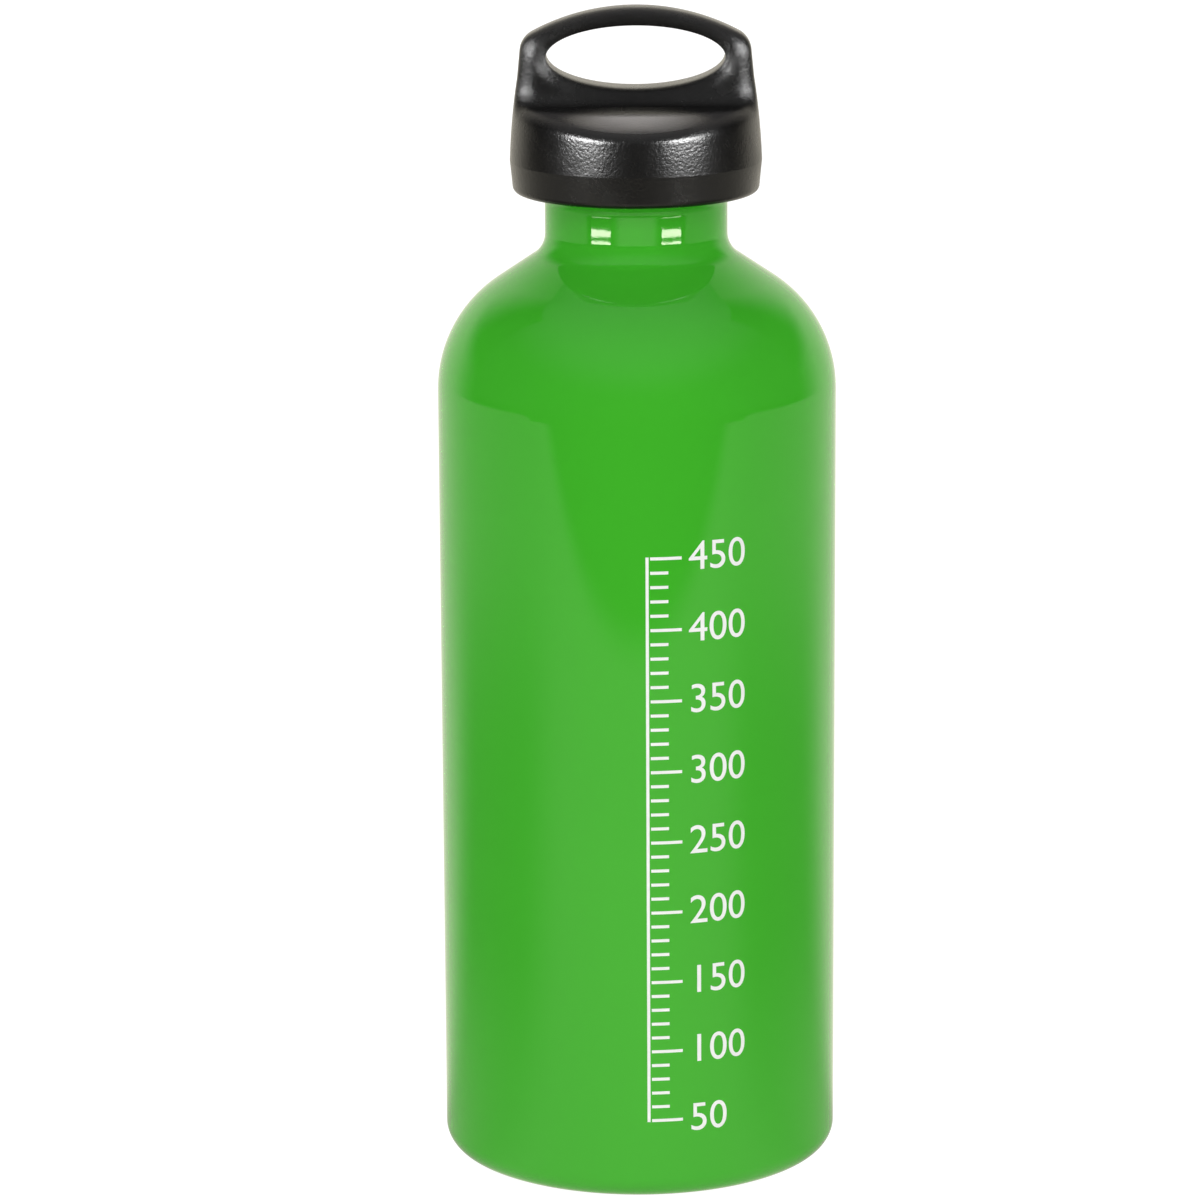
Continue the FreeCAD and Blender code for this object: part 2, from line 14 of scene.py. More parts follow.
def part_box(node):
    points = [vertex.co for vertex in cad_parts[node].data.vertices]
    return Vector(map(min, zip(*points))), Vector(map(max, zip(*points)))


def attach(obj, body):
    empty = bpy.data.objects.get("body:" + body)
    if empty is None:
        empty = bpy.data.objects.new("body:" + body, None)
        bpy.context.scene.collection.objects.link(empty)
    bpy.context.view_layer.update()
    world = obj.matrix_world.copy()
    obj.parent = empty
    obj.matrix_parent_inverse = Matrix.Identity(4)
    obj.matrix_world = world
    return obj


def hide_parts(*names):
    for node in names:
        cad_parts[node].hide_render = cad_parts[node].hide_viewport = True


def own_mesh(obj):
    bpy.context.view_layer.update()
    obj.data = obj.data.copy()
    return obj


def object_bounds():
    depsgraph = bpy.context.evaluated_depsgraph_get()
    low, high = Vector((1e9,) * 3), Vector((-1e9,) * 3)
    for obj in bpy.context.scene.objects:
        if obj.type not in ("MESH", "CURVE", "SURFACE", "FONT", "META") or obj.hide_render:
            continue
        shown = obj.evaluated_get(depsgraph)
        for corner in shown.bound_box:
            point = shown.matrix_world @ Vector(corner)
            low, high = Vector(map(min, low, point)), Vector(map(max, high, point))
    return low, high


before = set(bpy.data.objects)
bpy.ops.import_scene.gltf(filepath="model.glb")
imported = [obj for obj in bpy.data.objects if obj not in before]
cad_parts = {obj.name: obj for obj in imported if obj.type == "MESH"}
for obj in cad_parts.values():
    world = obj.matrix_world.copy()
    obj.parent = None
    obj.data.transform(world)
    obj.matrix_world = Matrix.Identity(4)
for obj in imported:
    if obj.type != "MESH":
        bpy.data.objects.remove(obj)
CAD_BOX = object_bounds()
MM = 0.001
TAU = 2 * math.pi
scene = bpy.context.scene

# Sizes read from the solids
SHELL_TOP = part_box("bottle_shell")[1]
RING_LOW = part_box("neck_thread_ring")[0]
RETAINER_LOW, RETAINER_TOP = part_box("retaining_ring")
SEAL_LOW, SEAL_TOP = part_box("seal_ring")
PLUG_LOW, PLUG_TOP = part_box("inner_plug")
SPRING_LOW, SPRING_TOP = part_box("press_spring")
RIM_HEIGHT = SHELL_TOP.z

# Printed scale: an ink film on the lacquer, inside the solids' outline
INK_FILM = 0.03 * MM
BODY_RADIUS = SHELL_TOP.x - INK_FILM

# Drawn bottle
BODY_HEIGHT = 142.5 * MM
WALL = 0.9 * MM
BASE_WALL = 1.3 * MM
BASE_CORNER = 4.2 * MM
FOOT_WIDTH = 5.5 * MM
FOOT_INNER = BODY_RADIUS - BASE_CORNER - FOOT_WIDTH
BASE_RISE = 3.2 * MM
SHOULDER_RADIUS = 23.7 * MM
CONE_SLOPE = math.radians(34)
THROAT_RADIUS = 4.9 * MM
NECK_RADIUS = 16.4 * MM
WAIST_LENGTH = 5.2 * MM
COLLAR_RADIUS = 19.1 * MM
COLLAR_ROUND = 0.4 * MM
LIP_THICKNESS = 1.0 * MM
LIP_REACH = 1.7 * MM
LIP_ROUND = 0.8 * MM
COLLAR_HEIGHT = 4.87 * MM
COLLAR_FLOOR = RIM_HEIGHT - COLLAR_HEIGHT
COLLAR_BORE = COLLAR_RADIUS - WALL
NECK_BORE = NECK_RADIUS - WALL
LIP_FLOOR = RIM_HEIGHT - LIP_THICKNESS
LIP_BORE = COLLAR_BORE - LIP_REACH

# Thread of the neck ring and the plug; the ridge's form is in shares of its lead
THREAD_LEAD = 4.0 * MM
THREAD_DEPTH = 0.72 * MM
THREAD_PLAY = 0.1 * MM
THREAD_FADE = 1.2 * MM
THREAD_ROWS = 0.2 * MM
THREAD_TOP = RIM_HEIGHT - 2.5 * MM
RIDGE_FOOT = 0.12
RIDGE_TOP = 0.36
PLUG_ROOT = 12.25 * MM
RING_FIT = 0.05 * MM
LEAD_IN = 0.5 * MM

# Seal, plug, retaining ring and spring
SEAL_WIDTH = 2.9 * MM
SEAL_BULGE = 0.35 * MM
STEM_RADIUS = 12.75 * MM
FLANGE_RADIUS = PLUG_TOP.x
FLANGE_LOW = SEAL_TOP.z
FLANGE_THICKNESS = 2.0 * MM
FLANGE_TOP = FLANGE_LOW + FLANGE_THICKNESS
WELL_RADIUS = 8.85 * MM
WELL_FLOOR = PLUG_LOW.z + 2.0 * MM
GROOVE_RADIUS = 9.85 * MM
GROOVE_PLAY = 0.05 * MM
EDGE_ROUND = 0.25 * MM
TOOTH_COUNT = 12
TOOTH_INNER = 11.35 * MM
TOOTH_OUTER = 17.0 * MM
TOOTH_WIDTH = 2.6 * MM
TOOTH_DRAFT = 0.35 * MM
VENT_WIDTH = 2.4 * MM
VENT_DEPTH = 1.3 * MM
VENT_LENGTH = 8.0 * MM
SPRING_WIRE = 0.9 * MM
SPRING_TURNS = 5

# Cap: crease round its skirt, root of its loop, and the ovals on its level top, matt and painted lighter
# grey as painted light, fading out towards the loop's foot and the sides as painted shade
CREASE_HEIGHT = RIM_HEIGHT + 0.8 * MM
CREASE_WITHIN = 0.02 * MM
LOOP_ROOT = (RIM_HEIGHT + 6 * MM, RIM_HEIGHT + 10 * MM)
SOFT_EDGE = 4.5 * MM
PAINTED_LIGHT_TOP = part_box("outer_cap")[1].z - 16.6 * MM
PAINTED_LIGHT_LEVEL = (0.94, 0.985)
PAINTED_LIGHT_ACROSS = (13 * MM, 2 * MM)
PAINTED_LIGHT_AHEAD = (10.5 * MM, 13.5 * MM)

# Scale printed on the body: levels in millilitres and sizes on the print
SCALE_FIRST = 50
SCALE_LAST = 450
SCALE_STEP = 10
SCALE_NUMBERS = 50
SCALE_START = 2.2 * MM
SCALE_SHORT = 3.2 * MM
SCALE_LONG = 5.6 * MM
SCALE_LINE = 0.55 * MM
NUMBER_START = 9.0 * MM
NUMBER_SIZE = 7.4 * MM

# Fineness of the meshes
ARC_STEP = math.radians(4)
HOLD = 0.25 * MM
SHARP_ANGLE = math.radians(34)
MERGE = 1e-7
BOTTLE_STEPS = 192
SEAL_STEPS = 120
THREAD_STEPS = 144
COIL_STEPS = 40
WIRE_SIDES = 14
TICK_STEPS = 12

# Kinds of socket
GEOMETRY = "NodeSocketGeometry"
FLOAT = "NodeSocketFloat"
WHOLE = "NodeSocketInt"
COLOUR = "NodeSocketColor"
VECTOR = "NodeSocketVector"
MATERIAL = "NodeSocketMaterial"
WORDS = "NodeSocketString"


# Nodes


def add(tree, kind, inputs=None, **settings):
    """New node: its settings, then its inputs, each linked from a socket or set."""
    node = tree.nodes.new(kind)
    for name, value in settings.items():
        setattr(node, name, value)
    for key, value in (inputs or {}).items():
        if isinstance(value, bpy.types.NodeSocket):
            tree.links.new(value, node.inputs[key])
        else:
            node.inputs[key].default_value = value
    return node


def put(tree, kind, inputs=None, **settings):
    """First output of a new node."""
    return add(tree, kind, inputs, **settings).outputs[0]


def calc(tree, operation, *values):
    """Output of a math node."""
    return put(tree, "ShaderNodeMath", dict(enumerate(values)), operation=operation)


def whole_calc(tree, operation, *values):
    """Output of a math node for whole numbers."""
    return put(tree, "FunctionNodeIntegerMath", dict(enumerate(values)), operation=operation)


def product(tree, value, *factors):
    """A value times its factors."""
    for factor in factors:
        value = calc(tree, "MULTIPLY", value, factor)
    return value


def blend_values(tree, low, high, factor):
    """Value between two others."""
    return calc(tree, "ADD", low, product(tree, calc(tree, "SUBTRACT", high, low), factor))


def step_up(tree, value, low, high):
    """Smooth step from 0 to 1 as a value goes from low to high."""
    inputs = {"Value": value, "From Min": low, "From Max": high}
    return put(tree, "ShaderNodeMapRange", inputs, interpolation_type="SMOOTHSTEP")


def split(tree, vector):
    """X, Y and Z of a vector."""
    return add(tree, "ShaderNodeSeparateXYZ", {0: vector}).outputs


def combine(tree, **axes):
    """Vector of the X, Y and Z that are given."""
    return put(tree, "ShaderNodeCombineXYZ", axes)


def polar(tree, radius, angle, height):
    """Place at a radius and an angle about Z."""
    x = product(tree, radius, calc(tree, "COSINE", angle))
    y = product(tree, radius, calc(tree, "SINE", angle))
    return combine(tree, X=x, Y=y, Z=height)


def noise(tree, vector, size, **more):
    """Noise with features of about a size."""
    inputs = {"Vector": vector, "Scale": calc(tree, "DIVIDE", 1.0, size), **more}
    return put(tree, "ShaderNodeTexNoise", inputs)


def new_tree(name, kind, inputs, outputs):
    """Empty node group with named sockets, and its own inputs and outputs."""
    tree = bpy.data.node_groups.new(name, kind)
    for label, socket, value in inputs:
        item = tree.interface.new_socket(label, in_out="INPUT", socket_type=socket)
        if value is not None:
            item.default_value = value
    for label, socket in outputs:
        tree.interface.new_socket(label, in_out="OUTPUT", socket_type=socket)
    given = tree.nodes.new("NodeGroupInput").outputs
    made = tree.nodes.new("NodeGroupOutput").inputs
    return tree, given, made


def geometry_tree(name, *inputs):
    """Empty tree that makes geometry."""
    return new_tree(name, "GeometryNodeTree", inputs, (("Geometry", GEOMETRY),))


def shader_group(name, output, kind, *inputs):
    """Empty group that puts out one value over a surface."""
    return new_tree(name, "ShaderNodeTree", (("Vector", VECTOR, None), *inputs), ((output, kind),))


# Geometry trees


def position(tree):
    """Place of each point."""
    return put(tree, "GeometryNodeInputPosition")


def stored(tree, name):
    """Value that points carry under a name."""
    return put(tree, "GeometryNodeInputNamedAttribute", {"Name": name}, data_type="FLOAT")


def move(tree, geometry, place):
    """Geometry with its points at new places."""
    return put(tree, "GeometryNodeSetPosition", {"Geometry": geometry, "Position": place})


def shift(tree, geometry, way):
    """Geometry moved as a whole."""
    return put(tree, "GeometryNodeTransform", {"Geometry": geometry, "Translation": way})


def merged(tree, geometry):
    """Geometry with points at the same place made one."""
    return put(tree, "GeometryNodeMergeByDistance", {"Geometry": geometry, "Distance": MERGE})


def smooth(tree, geometry):
    """Geometry shaded smooth."""
    return put(tree, "GeometryNodeSetShadeSmooth", {"Geometry": geometry})


def real(tree, geometry):
    """Geometry without instances."""
    return put(tree, "GeometryNodeRealizeInstances", {"Geometry": geometry})


def paint(tree, geometry, material, **choice):
    """Geometry with a material, on some faces if a Selection is given."""
    return put(tree, "GeometryNodeSetMaterial", {"Geometry": geometry, "Material": material, **choice})


def both(tree, first, second):
    """Two geometries as one."""
    node = add(tree, "GeometryNodeJoinGeometry")
    for geometry in (first, second):
        tree.links.new(geometry, node.inputs[0])
    return node.outputs[0]


def lathe_tree():
    """Turns an outline about Z. Its points may carry a thread weight and an inside mark."""
    tree, given, made = geometry_tree(
        "lathe",
        ("Outline", GEOMETRY, None),
        ("Turn Steps", WHOLE, 96),
        ("Thread Depth", FLOAT, 0.0),
        ("Thread Lead", FLOAT, 1.0),
        ("Outside", MATERIAL, None),
        ("Inside", MATERIAL, None),
    )
    count = add(tree, "GeometryNodeAttributeDomainSize", {0: given["Outline"]}).outputs["Point Count"]
    columns = calc(tree, "ADD", given["Turn Steps"], 1)
    grid = put(tree, "GeometryNodeMeshGrid", {"Vertices X": columns, "Vertices Y": count})
    index = put(tree, "GeometryNodeInputIndex")
    row = whole_calc(tree, "MODULO", index, count)
    turn = calc(tree, "DIVIDE", whole_calc(tree, "DIVIDE_FLOOR", index, count), given["Turn Steps"])

    def from_outline(value, kind="FLOAT"):
        inputs = {"Geometry": given["Outline"], "Value": value, "Index": row}
        return put(tree, "GeometryNodeSampleIndex", inputs, data_type=kind, domain="POINT")

    place = split(tree, from_outline(position(tree), "FLOAT_VECTOR"))
    phase = calc(tree, "SUBTRACT", calc(tree, "DIVIDE", place["Z"], given["Thread Lead"]), turn)
    ridge = step_up(tree, calc(tree, "PINGPONG", phase, 0.5), RIDGE_FOOT, RIDGE_TOP)
    proud = product(tree, ridge, from_outline(stored(tree, "thread")), given["Thread Depth"])
    radius = calc(tree, "ADD", place["X"], proud)
    spot = polar(tree, radius, product(tree, turn, TAU), place["Z"])
    inputs = {"Geometry": grid, "Name": "inside", "Value": from_outline(stored(tree, "inside"))}
    marked = put(tree, "GeometryNodeStoreNamedAttribute", inputs, data_type="FLOAT", domain="POINT")
    turned = real(tree, smooth(tree, merged(tree, move(tree, marked, spot))))
    bare = calc(tree, "GREATER_THAN", stored(tree, "inside"), 0.5)
    done = paint(tree, paint(tree, turned, given["Outside"]), given["Inside"], Selection=bare)
    tree.links.new(done, made["Geometry"])
    return tree


def ring_tree():
    """Repeats the given shape round the Z axis."""
    tree, given, made = geometry_tree(
        "ring", ("Shape", GEOMETRY, None), ("Count", WHOLE, 12), ("Finish", MATERIAL, None)
    )
    points = put(tree, "GeometryNodePoints", {"Count": given["Count"]})
    share = calc(tree, "DIVIDE", put(tree, "GeometryNodeInputIndex"), given["Count"])
    turn = combine(tree, Z=product(tree, share, TAU))
    inputs = {"Points": points, "Instance": given["Shape"], "Rotation": turn}
    copies = real(tree, put(tree, "GeometryNodeInstanceOnPoints", inputs))
    tree.links.new(paint(tree, copies, given["Finish"]), made["Geometry"])
    return tree


def coil_tree():
    """Round wire wound evenly about Z between two heights."""
    tree, given, made = geometry_tree(
        "coil",
        ("Geometry", GEOMETRY, None),
        ("Turns", FLOAT, 5.0),
        ("Radius", FLOAT, 0.01),
        ("Wire", FLOAT, 0.001),
        ("Low", FLOAT, 0.0),
        ("High", FLOAT, 0.01),
        ("Steps", WHOLE, 200),
        ("Finish", MATERIAL, None),
    )
    line = put(tree, "GeometryNodeCurvePrimitiveLine")
    points = put(tree, "GeometryNodeResampleCurve", {"Curve": line, "Count": given["Steps"]})
    share = add(tree, "GeometryNodeSplineParameter").outputs["Factor"]
    angle = product(tree, share, given["Turns"], TAU)
    height = blend_values(tree, given["Low"], given["High"], share)
    wound = move(tree, points, polar(tree, given["Radius"], angle, height))
    inputs = {"Resolution": WIRE_SIDES, "Radius": product(tree, given["Wire"], 0.5)}
    section = put(tree, "GeometryNodeCurvePrimitiveCircle", inputs)
    inputs = {"Curve": wound, "Profile Curve": section, "Fill Caps": True}
    wire = real(tree, smooth(tree, put(tree, "GeometryNodeCurveToMesh", inputs)))
    tree.links.new(paint(tree, wire, given["Finish"]), made["Geometry"])
    return tree


def wrap_tree():
    """Wraps a flat print about Z: x runs round the bottle, y up and z outwards."""
    tree, given, made = geometry_tree(
        "wrap", ("Print", GEOMETRY, None), ("Radius", FLOAT, 0.03), ("Finish", MATERIAL, None)
    )
    flat = split(tree, position(tree))
    angle = calc(tree, "DIVIDE", flat["X"], given["Radius"])
    radius = calc(tree, "ADD", given["Radius"], flat["Z"])
    x = product(tree, radius, calc(tree, "SINE", angle))
    y = product(tree, radius, calc(tree, "COSINE", angle), -1)
    wrapped = move(tree, real(tree, given["Print"]), combine(tree, X=x, Y=y, Z=flat["Y"]))
    tree.links.new(paint(tree, wrapped, given["Finish"]), made["Geometry"])
    return tree


def end_wrapped(tree, given, made, wrap, flat):
    """End of a tree whose flat print is wrapped on the bottle."""
    inputs = {"Print": flat, "Radius": given["Radius"], "Finish": given["Finish"]}
    tree.links.new(put(tree, "GeometryNodeGroup", inputs, node_tree=wrap), made["Geometry"])
    return tree


def ticks_tree(wrap):
    """Graduated scale: ticks up a spine, longer at every fifth, wrapped on the bottle."""
    tree, given, made = geometry_tree(
        "scale_ticks",
        ("Geometry", GEOMETRY, None),
        ("Count", WHOLE, 10),
        ("First", FLOAT, 0.0),
        ("Spacing", FLOAT, 0.001),
        ("Start", FLOAT, 0.0),
        ("Short", FLOAT, 0.001),
        ("Long", FLOAT, 0.002),
        ("Line", FLOAT, 0.0005),
        ("Film", FLOAT, 0.0001),
        ("Radius", FLOAT, 0.03),
        ("Finish", MATERIAL, None),
    )
    line, film = given["Line"], given["Film"]
    start = combine(tree, X=given["Start"], Y=given["First"])
    apart = combine(tree, Y=given["Spacing"])
    inputs = {"Count": given["Count"], "Start Location": start, "Offset": apart}
    points = put(tree, "GeometryNodeMeshLine", inputs)
    fifth = whole_calc(tree, "MODULO", put(tree, "GeometryNodeInputIndex"), 5)
    major = calc(tree, "COMPARE", fifth, 0.0, 0.5)
    length = blend_values(tree, given["Short"], given["Long"], major)
    block = put(tree, "GeometryNodeMeshCube", {"Size": (1, 1, 1), "Vertices X": TICK_STEPS})
    tick = shift(tree, block, (0.5, 0, 0))
    inputs = {"Points": points, "Instance": tick, "Scale": combine(tree, X=length, Y=line, Z=film)}
    ticks = put(tree, "GeometryNodeInstanceOnPoints", inputs)
    reach = product(tree, given["Spacing"], calc(tree, "SUBTRACT", given["Count"], 1))
    size = combine(tree, X=line, Y=calc(tree, "ADD", reach, line), Z=film)
    x = calc(tree, "SUBTRACT", given["Start"], line)
    y = calc(tree, "ADD", given["First"], product(tree, reach, 0.5))
    spine = shift(tree, put(tree, "GeometryNodeMeshCube", {"Size": size}), combine(tree, X=x, Y=y))
    return end_wrapped(tree, given, made, wrap, both(tree, ticks, spine))


def numeral_tree(wrap):
    """One number of the scale as a closed film, wrapped on the bottle."""
    tree, given, made = geometry_tree(
        "scale_number",
        ("Geometry", GEOMETRY, None),
        ("Number", WORDS, "0"),
        ("Size", FLOAT, 0.005),
        ("Start", FLOAT, 0.0),
        ("Height", FLOAT, 0.0),
        ("Film", FLOAT, 0.0001),
        ("Radius", FLOAT, 0.03),
        ("Finish", MATERIAL, None),
    )
    inputs = {"String": given["Number"], "Size": given["Size"]}
    letters = put(tree, "GeometryNodeStringToCurves", inputs, align_x="LEFT", align_y="MIDDLE")
    face = put(tree, "GeometryNodeFillCurve", {"Curve": real(tree, letters)})
    fine = put(tree, "GeometryNodeSubdivideMesh", {"Mesh": face, "Level": 2})
    low = shift(tree, fine, combine(tree, X=given["Start"], Y=given["Height"]))
    rise = combine(tree, Z=given["Film"])
    inputs = {"Mesh": low, "Offset": rise, "Offset Scale": 1.0, "Individual": False}
    raised = put(tree, "GeometryNodeExtrudeMesh", inputs)
    under = put(tree, "GeometryNodeFlipFaces", {"Mesh": low})
    return end_wrapped(tree, given, made, wrap, merged(tree, both(tree, raised, under)))


# Shader groups


def grain_group():
    """Moulded or sprayed grain: the height of small rounded pits."""
    tree, given, made = shader_group(
        "grain", "Height", FLOAT, ("Size", FLOAT, 0.001), ("Roughening", FLOAT, 0.5)
    )
    scale = calc(tree, "DIVIDE", 1.0, given["Size"])
    inputs = {"Vector": given["Vector"], "Scale": scale, "Smoothness": 1.0}
    pits = add(tree, "ShaderNodeTexVoronoi", inputs, feature="SMOOTH_F1").outputs["Distance"]
    inputs = {"Vector": given["Vector"], "Scale": product(tree, scale, 1.7), "Detail": 2.0}
    crumbs = put(tree, "ShaderNodeTexNoise", inputs)
    tree.links.new(blend_values(tree, pits, crumbs, given["Roughening"]), made["Height"])
    return tree


def drift_group():
    """Slow drift of a colour's tone over a surface."""
    tree, given, made = shader_group(
        "tone_drift",
        "Colour",
        COLOUR,
        ("Size", FLOAT, 0.02),
        ("Amount", FLOAT, 0.1),
        ("Colour", COLOUR, None),
    )
    tone = noise(tree, given["Vector"], given["Size"], Detail=4.0)
    swing = product(tree, calc(tree, "SUBTRACT", tone, 0.5), given["Amount"])
    factor = calc(tree, "ADD", 1.0, product(tree, swing, 2.0))
    shade = put(tree, "ShaderNodeVectorMath", {0: given["Colour"], 1: factor}, operation="MULTIPLY")
    tree.links.new(shade, made["Colour"])
    return tree


def handling_group():
    """Faint smudges and rubs: a roughness that wanders between two values."""
    tree, given, made = shader_group(
        "handling",
        "Roughness",
        FLOAT,
        ("Size", FLOAT, 0.01),
        ("Clean", FLOAT, 0.1),
        ("Rubbed", FLOAT, 0.2),
    )
    cloud = noise(tree, given["Vector"], given["Size"], Detail=6.0, Roughness=0.62)
    smudge = step_up(tree, cloud, 0.45, 0.75)
    tree.links.new(blend_values(tree, given["Clean"], given["Rubbed"], smudge), made["Roughness"])
    return tree


def lathe_lines_group():
    """Fine rings that a cutting tool leaves on a turned face."""
    tree, given, made = shader_group("lathe_lines", "Height", FLOAT, ("Pitch", FLOAT, 0.0002))
    place = split(tree, given["Vector"])
    squares = [product(tree, place[axis], place[axis]) for axis in "XY"]
    radius = calc(tree, "SQRT", calc(tree, "ADD", *squares))
    rings = combine(tree, X=radius, Z=place["Z"])
    tree.links.new(noise(tree, rings, given["Pitch"], Detail=3.0), made["Height"])
    return tree


def scuff_group():
    """Rub marks below a height, as a mask that breaks up upwards."""
    tree, given, made = shader_group(
        "scuffs", "Mask", FLOAT, ("Height", FLOAT, 0.001), ("Size", FLOAT, 0.001)
    )
    height = split(tree, given["Vector"])["Z"]
    low = calc(tree, "SUBTRACT", 1.0, step_up(tree, height, 0.0, given["Height"]))
    spots = noise(tree, given["Vector"], given["Size"], Detail=5.0)
    tree.links.new(product(tree, low, step_up(tree, spots, 0.5, 0.62)), made["Mask"])
    return tree


GRAIN = grain_group()
DRIFT = drift_group()
HANDLING = handling_group()
LATHE_LINES = lathe_lines_group()
SCUFFS = scuff_group()


# Materials


class Finish:
    """A material in the making: its tree, its shader and its object coordinates."""

    def __init__(self, name, **uniform):
        self.material = bpy.data.materials.new(name)
        self.material.use_nodes = True
        self.tree = self.material.node_tree
        self.shader = self.tree.nodes["Principled BSDF"]
        for key, value in uniform.items():
            self.shader.inputs[key.replace("_", " ")].default_value = value
        coordinates = self.tree.nodes.new("ShaderNodeTexCoord").outputs
        self.place, self.facing = coordinates["Object"], coordinates["Normal"]

    def group(self, tree, output, **inputs):
        """Output of a shared group, set to this finish's values."""
        inputs = {"Vector": self.place, **inputs}
        return add(self.tree, "ShaderNodeGroup", inputs, node_tree=tree).outputs[output]

    def tone(self, **inputs):
        """Colour that drifts a little."""
        return self.group(DRIFT, "Colour", **inputs)

    def rubs(self, **inputs):
        """Roughness with faint smudges."""
        return self.group(HANDLING, "Roughness", **inputs)

    def grain(self, **inputs):
        """Height of a fine grain."""
        return self.group(GRAIN, "Height", **inputs)

    def bump(self, height, strength, distance, **below):
        """Normal from a height, on top of another Normal if one is given."""
        inputs = {"Height": height, "Strength": strength, "Distance": distance, **below}
        return put(self.tree, "ShaderNodeBump", inputs)

    def mix(self, factor, first, second):
        """Colour between two colours."""
        node = add(self.tree, "ShaderNodeMix", {0: factor, 6: first, 7: second}, data_type="RGBA")
        return node.outputs[2]

    def done(self, **sockets):
        """The material, with values that change over the surface linked into its shader."""
        for key, socket in sockets.items():
            self.tree.links.new(socket, self.shader.inputs[key.replace("_", " ")])
        return self.material


def green_lacquer():
    """Glossy green lacquer, scuffed at the foot."""
    finish = Finish("green_lacquer", IOR=1.4)
    green = finish.tone(Size=0.03, Amount=0.02, Colour=(0.046, 0.405, 0.021, 1))
    scuff = finish.group(SCUFFS, "Mask", Height=1.6 * MM, Size=1.2 * MM)
    return finish.done(
        Base_Color=finish.mix(scuff, green, (0.16, 0.42, 0.11, 1)),
        Roughness=finish.rubs(Size=0.02, Clean=0.012, Rubbed=0.05),
        Normal=finish.bump(finish.grain(Size=2.2 * MM, Roughening=0.7), 0.012, 0.05 * MM),
    )


def bare_aluminium():
    """Aluminium with the fine rings of turning or spinning."""
    finish = Finish("bare_aluminium", Metallic=1.0)
    return finish.done(
        Base_Color=finish.tone(Size=0.012, Amount=0.08, Colour=(0.72, 0.73, 0.74, 1)),
        Roughness=finish.rubs(Size=0.008, Clean=0.24, Rubbed=0.4),
        Normal=finish.bump(finish.group(LATHE_LINES, "Height", Pitch=0.25 * MM), 0.12, 0.05 * MM),
    )


def grained(name, tone, rubs, grain, relief, **uniform):
    """Plain finish: a tone that drifts, faint rubs and a fine grain."""
    finish = Finish(name, **uniform)
    return finish.done(
        Base_Color=finish.tone(**tone),
        Roughness=finish.rubs(**rubs),
        Normal=finish.bump(finish.grain(**grain), *relief),
    )


def cap_plastic():
    """Semi-gloss black moulding with a fine grain; on each side of its level top a matt oval, painted
    lighter grey as painted light and fading to black towards the loop's foot and the sides as painted
    shade.
    """
    finish = Finish("cap_plastic", IOR=1.5, Specular_IOR_Level=0.3)
    tree = finish.tree
    level = split(tree, finish.facing)["Z"]
    spot = split(tree, finish.place)
    across, ahead = (calc(tree, "ABSOLUTE", spot[axis]) for axis in "XY")
    # Painted light: a lighter grey oval where the level top catches light, kept black near the loop's
    # foot, where its shadow falls, and towards the sides
    crown = product(
        tree,
        step_up(tree, level, *PAINTED_LIGHT_LEVEL),
        step_up(tree, across, *PAINTED_LIGHT_ACROSS),
        step_up(tree, ahead, *PAINTED_LIGHT_AHEAD),
        calc(tree, "LESS_THAN", spot["Z"], PAINTED_LIGHT_TOP),
    )
    black = finish.tone(Size=0.012, Amount=0.15, Colour=(0.0085, 0.008, 0.008, 1))
    gloss = finish.rubs(Size=0.01, Clean=0.25, Rubbed=0.33)
    flat = add(tree, "ShaderNodeNewGeometry").outputs["Normal"]
    soft = put(tree, "ShaderNodeBevel", {"Radius": SOFT_EDGE}, samples=6)
    loop = step_up(tree, spot["Z"], *LOOP_ROOT)
    edges = add(tree, "ShaderNodeMix", {0: loop, 4: flat, 5: soft}, data_type="VECTOR").outputs[1]
    grain = finish.grain(Size=0.5 * MM, Roughening=0.5)
    return finish.done(
        # Painted light: the oval's lighter grey stands in for the light that the level top catches
        Base_Color=finish.mix(crown, black, (0.09, 0.085, 0.083, 1)),
        Roughness=blend_values(tree, gloss, 0.62, crown),
        Normal=finish.bump(grain, 0.7, 0.08 * MM, Normal=edges),
    )


LACQUER = green_lacquer()
ALUMINIUM = bare_aluminium()
RUBBER = grained(
    "seal_rubber",
    tone={"Size": 0.006, "Amount": 0.25, "Colour": (0.022, 0.021, 0.02, 1)},
    rubs={"Size": 0.004, "Clean": 0.5, "Rubbed": 0.68},
    grain={"Size": 0.25 * MM, "Roughening": 0.8},
    relief=(0.3, 0.05 * MM),
    IOR=1.5,
)
PLUG_PLASTIC = grained(
    "plug_plastic",
    tone={"Size": 0.01, "Amount": 0.12, "Colour": (0.05, 0.05, 0.052, 1)},
    rubs={"Size": 0.006, "Clean": 0.33, "Rubbed": 0.5},
    grain={"Size": 0.35 * MM, "Roughening": 0.6},
    relief=(0.18, 0.04 * MM),
    IOR=1.5,
)
STEEL = grained(
    "spring_steel",
    tone={"Size": 0.004, "Amount": 0.12, "Colour": (0.56, 0.55, 0.54, 1)},
    rubs={"Size": 0.003, "Clean": 0.2, "Rubbed": 0.36},
    grain={"Size": 0.15 * MM, "Roughening": 0.9},
    relief=(0.1, 0.02 * MM),
    Metallic=1.0,
)
CAP_PLASTIC = cap_plastic()
INK = grained(
    "white_ink",
    tone={"Size": 0.005, "Amount": 0.04, "Colour": (0.84, 0.85, 0.84, 1)},
    rubs={"Size": 0.004, "Clean": 0.2, "Rubbed": 0.32},
    grain={"Size": 0.3 * MM, "Roughening": 0.8},
    relief=(0.08, 0.02 * MM),
    IOR=1.45,
)


# Making pieces


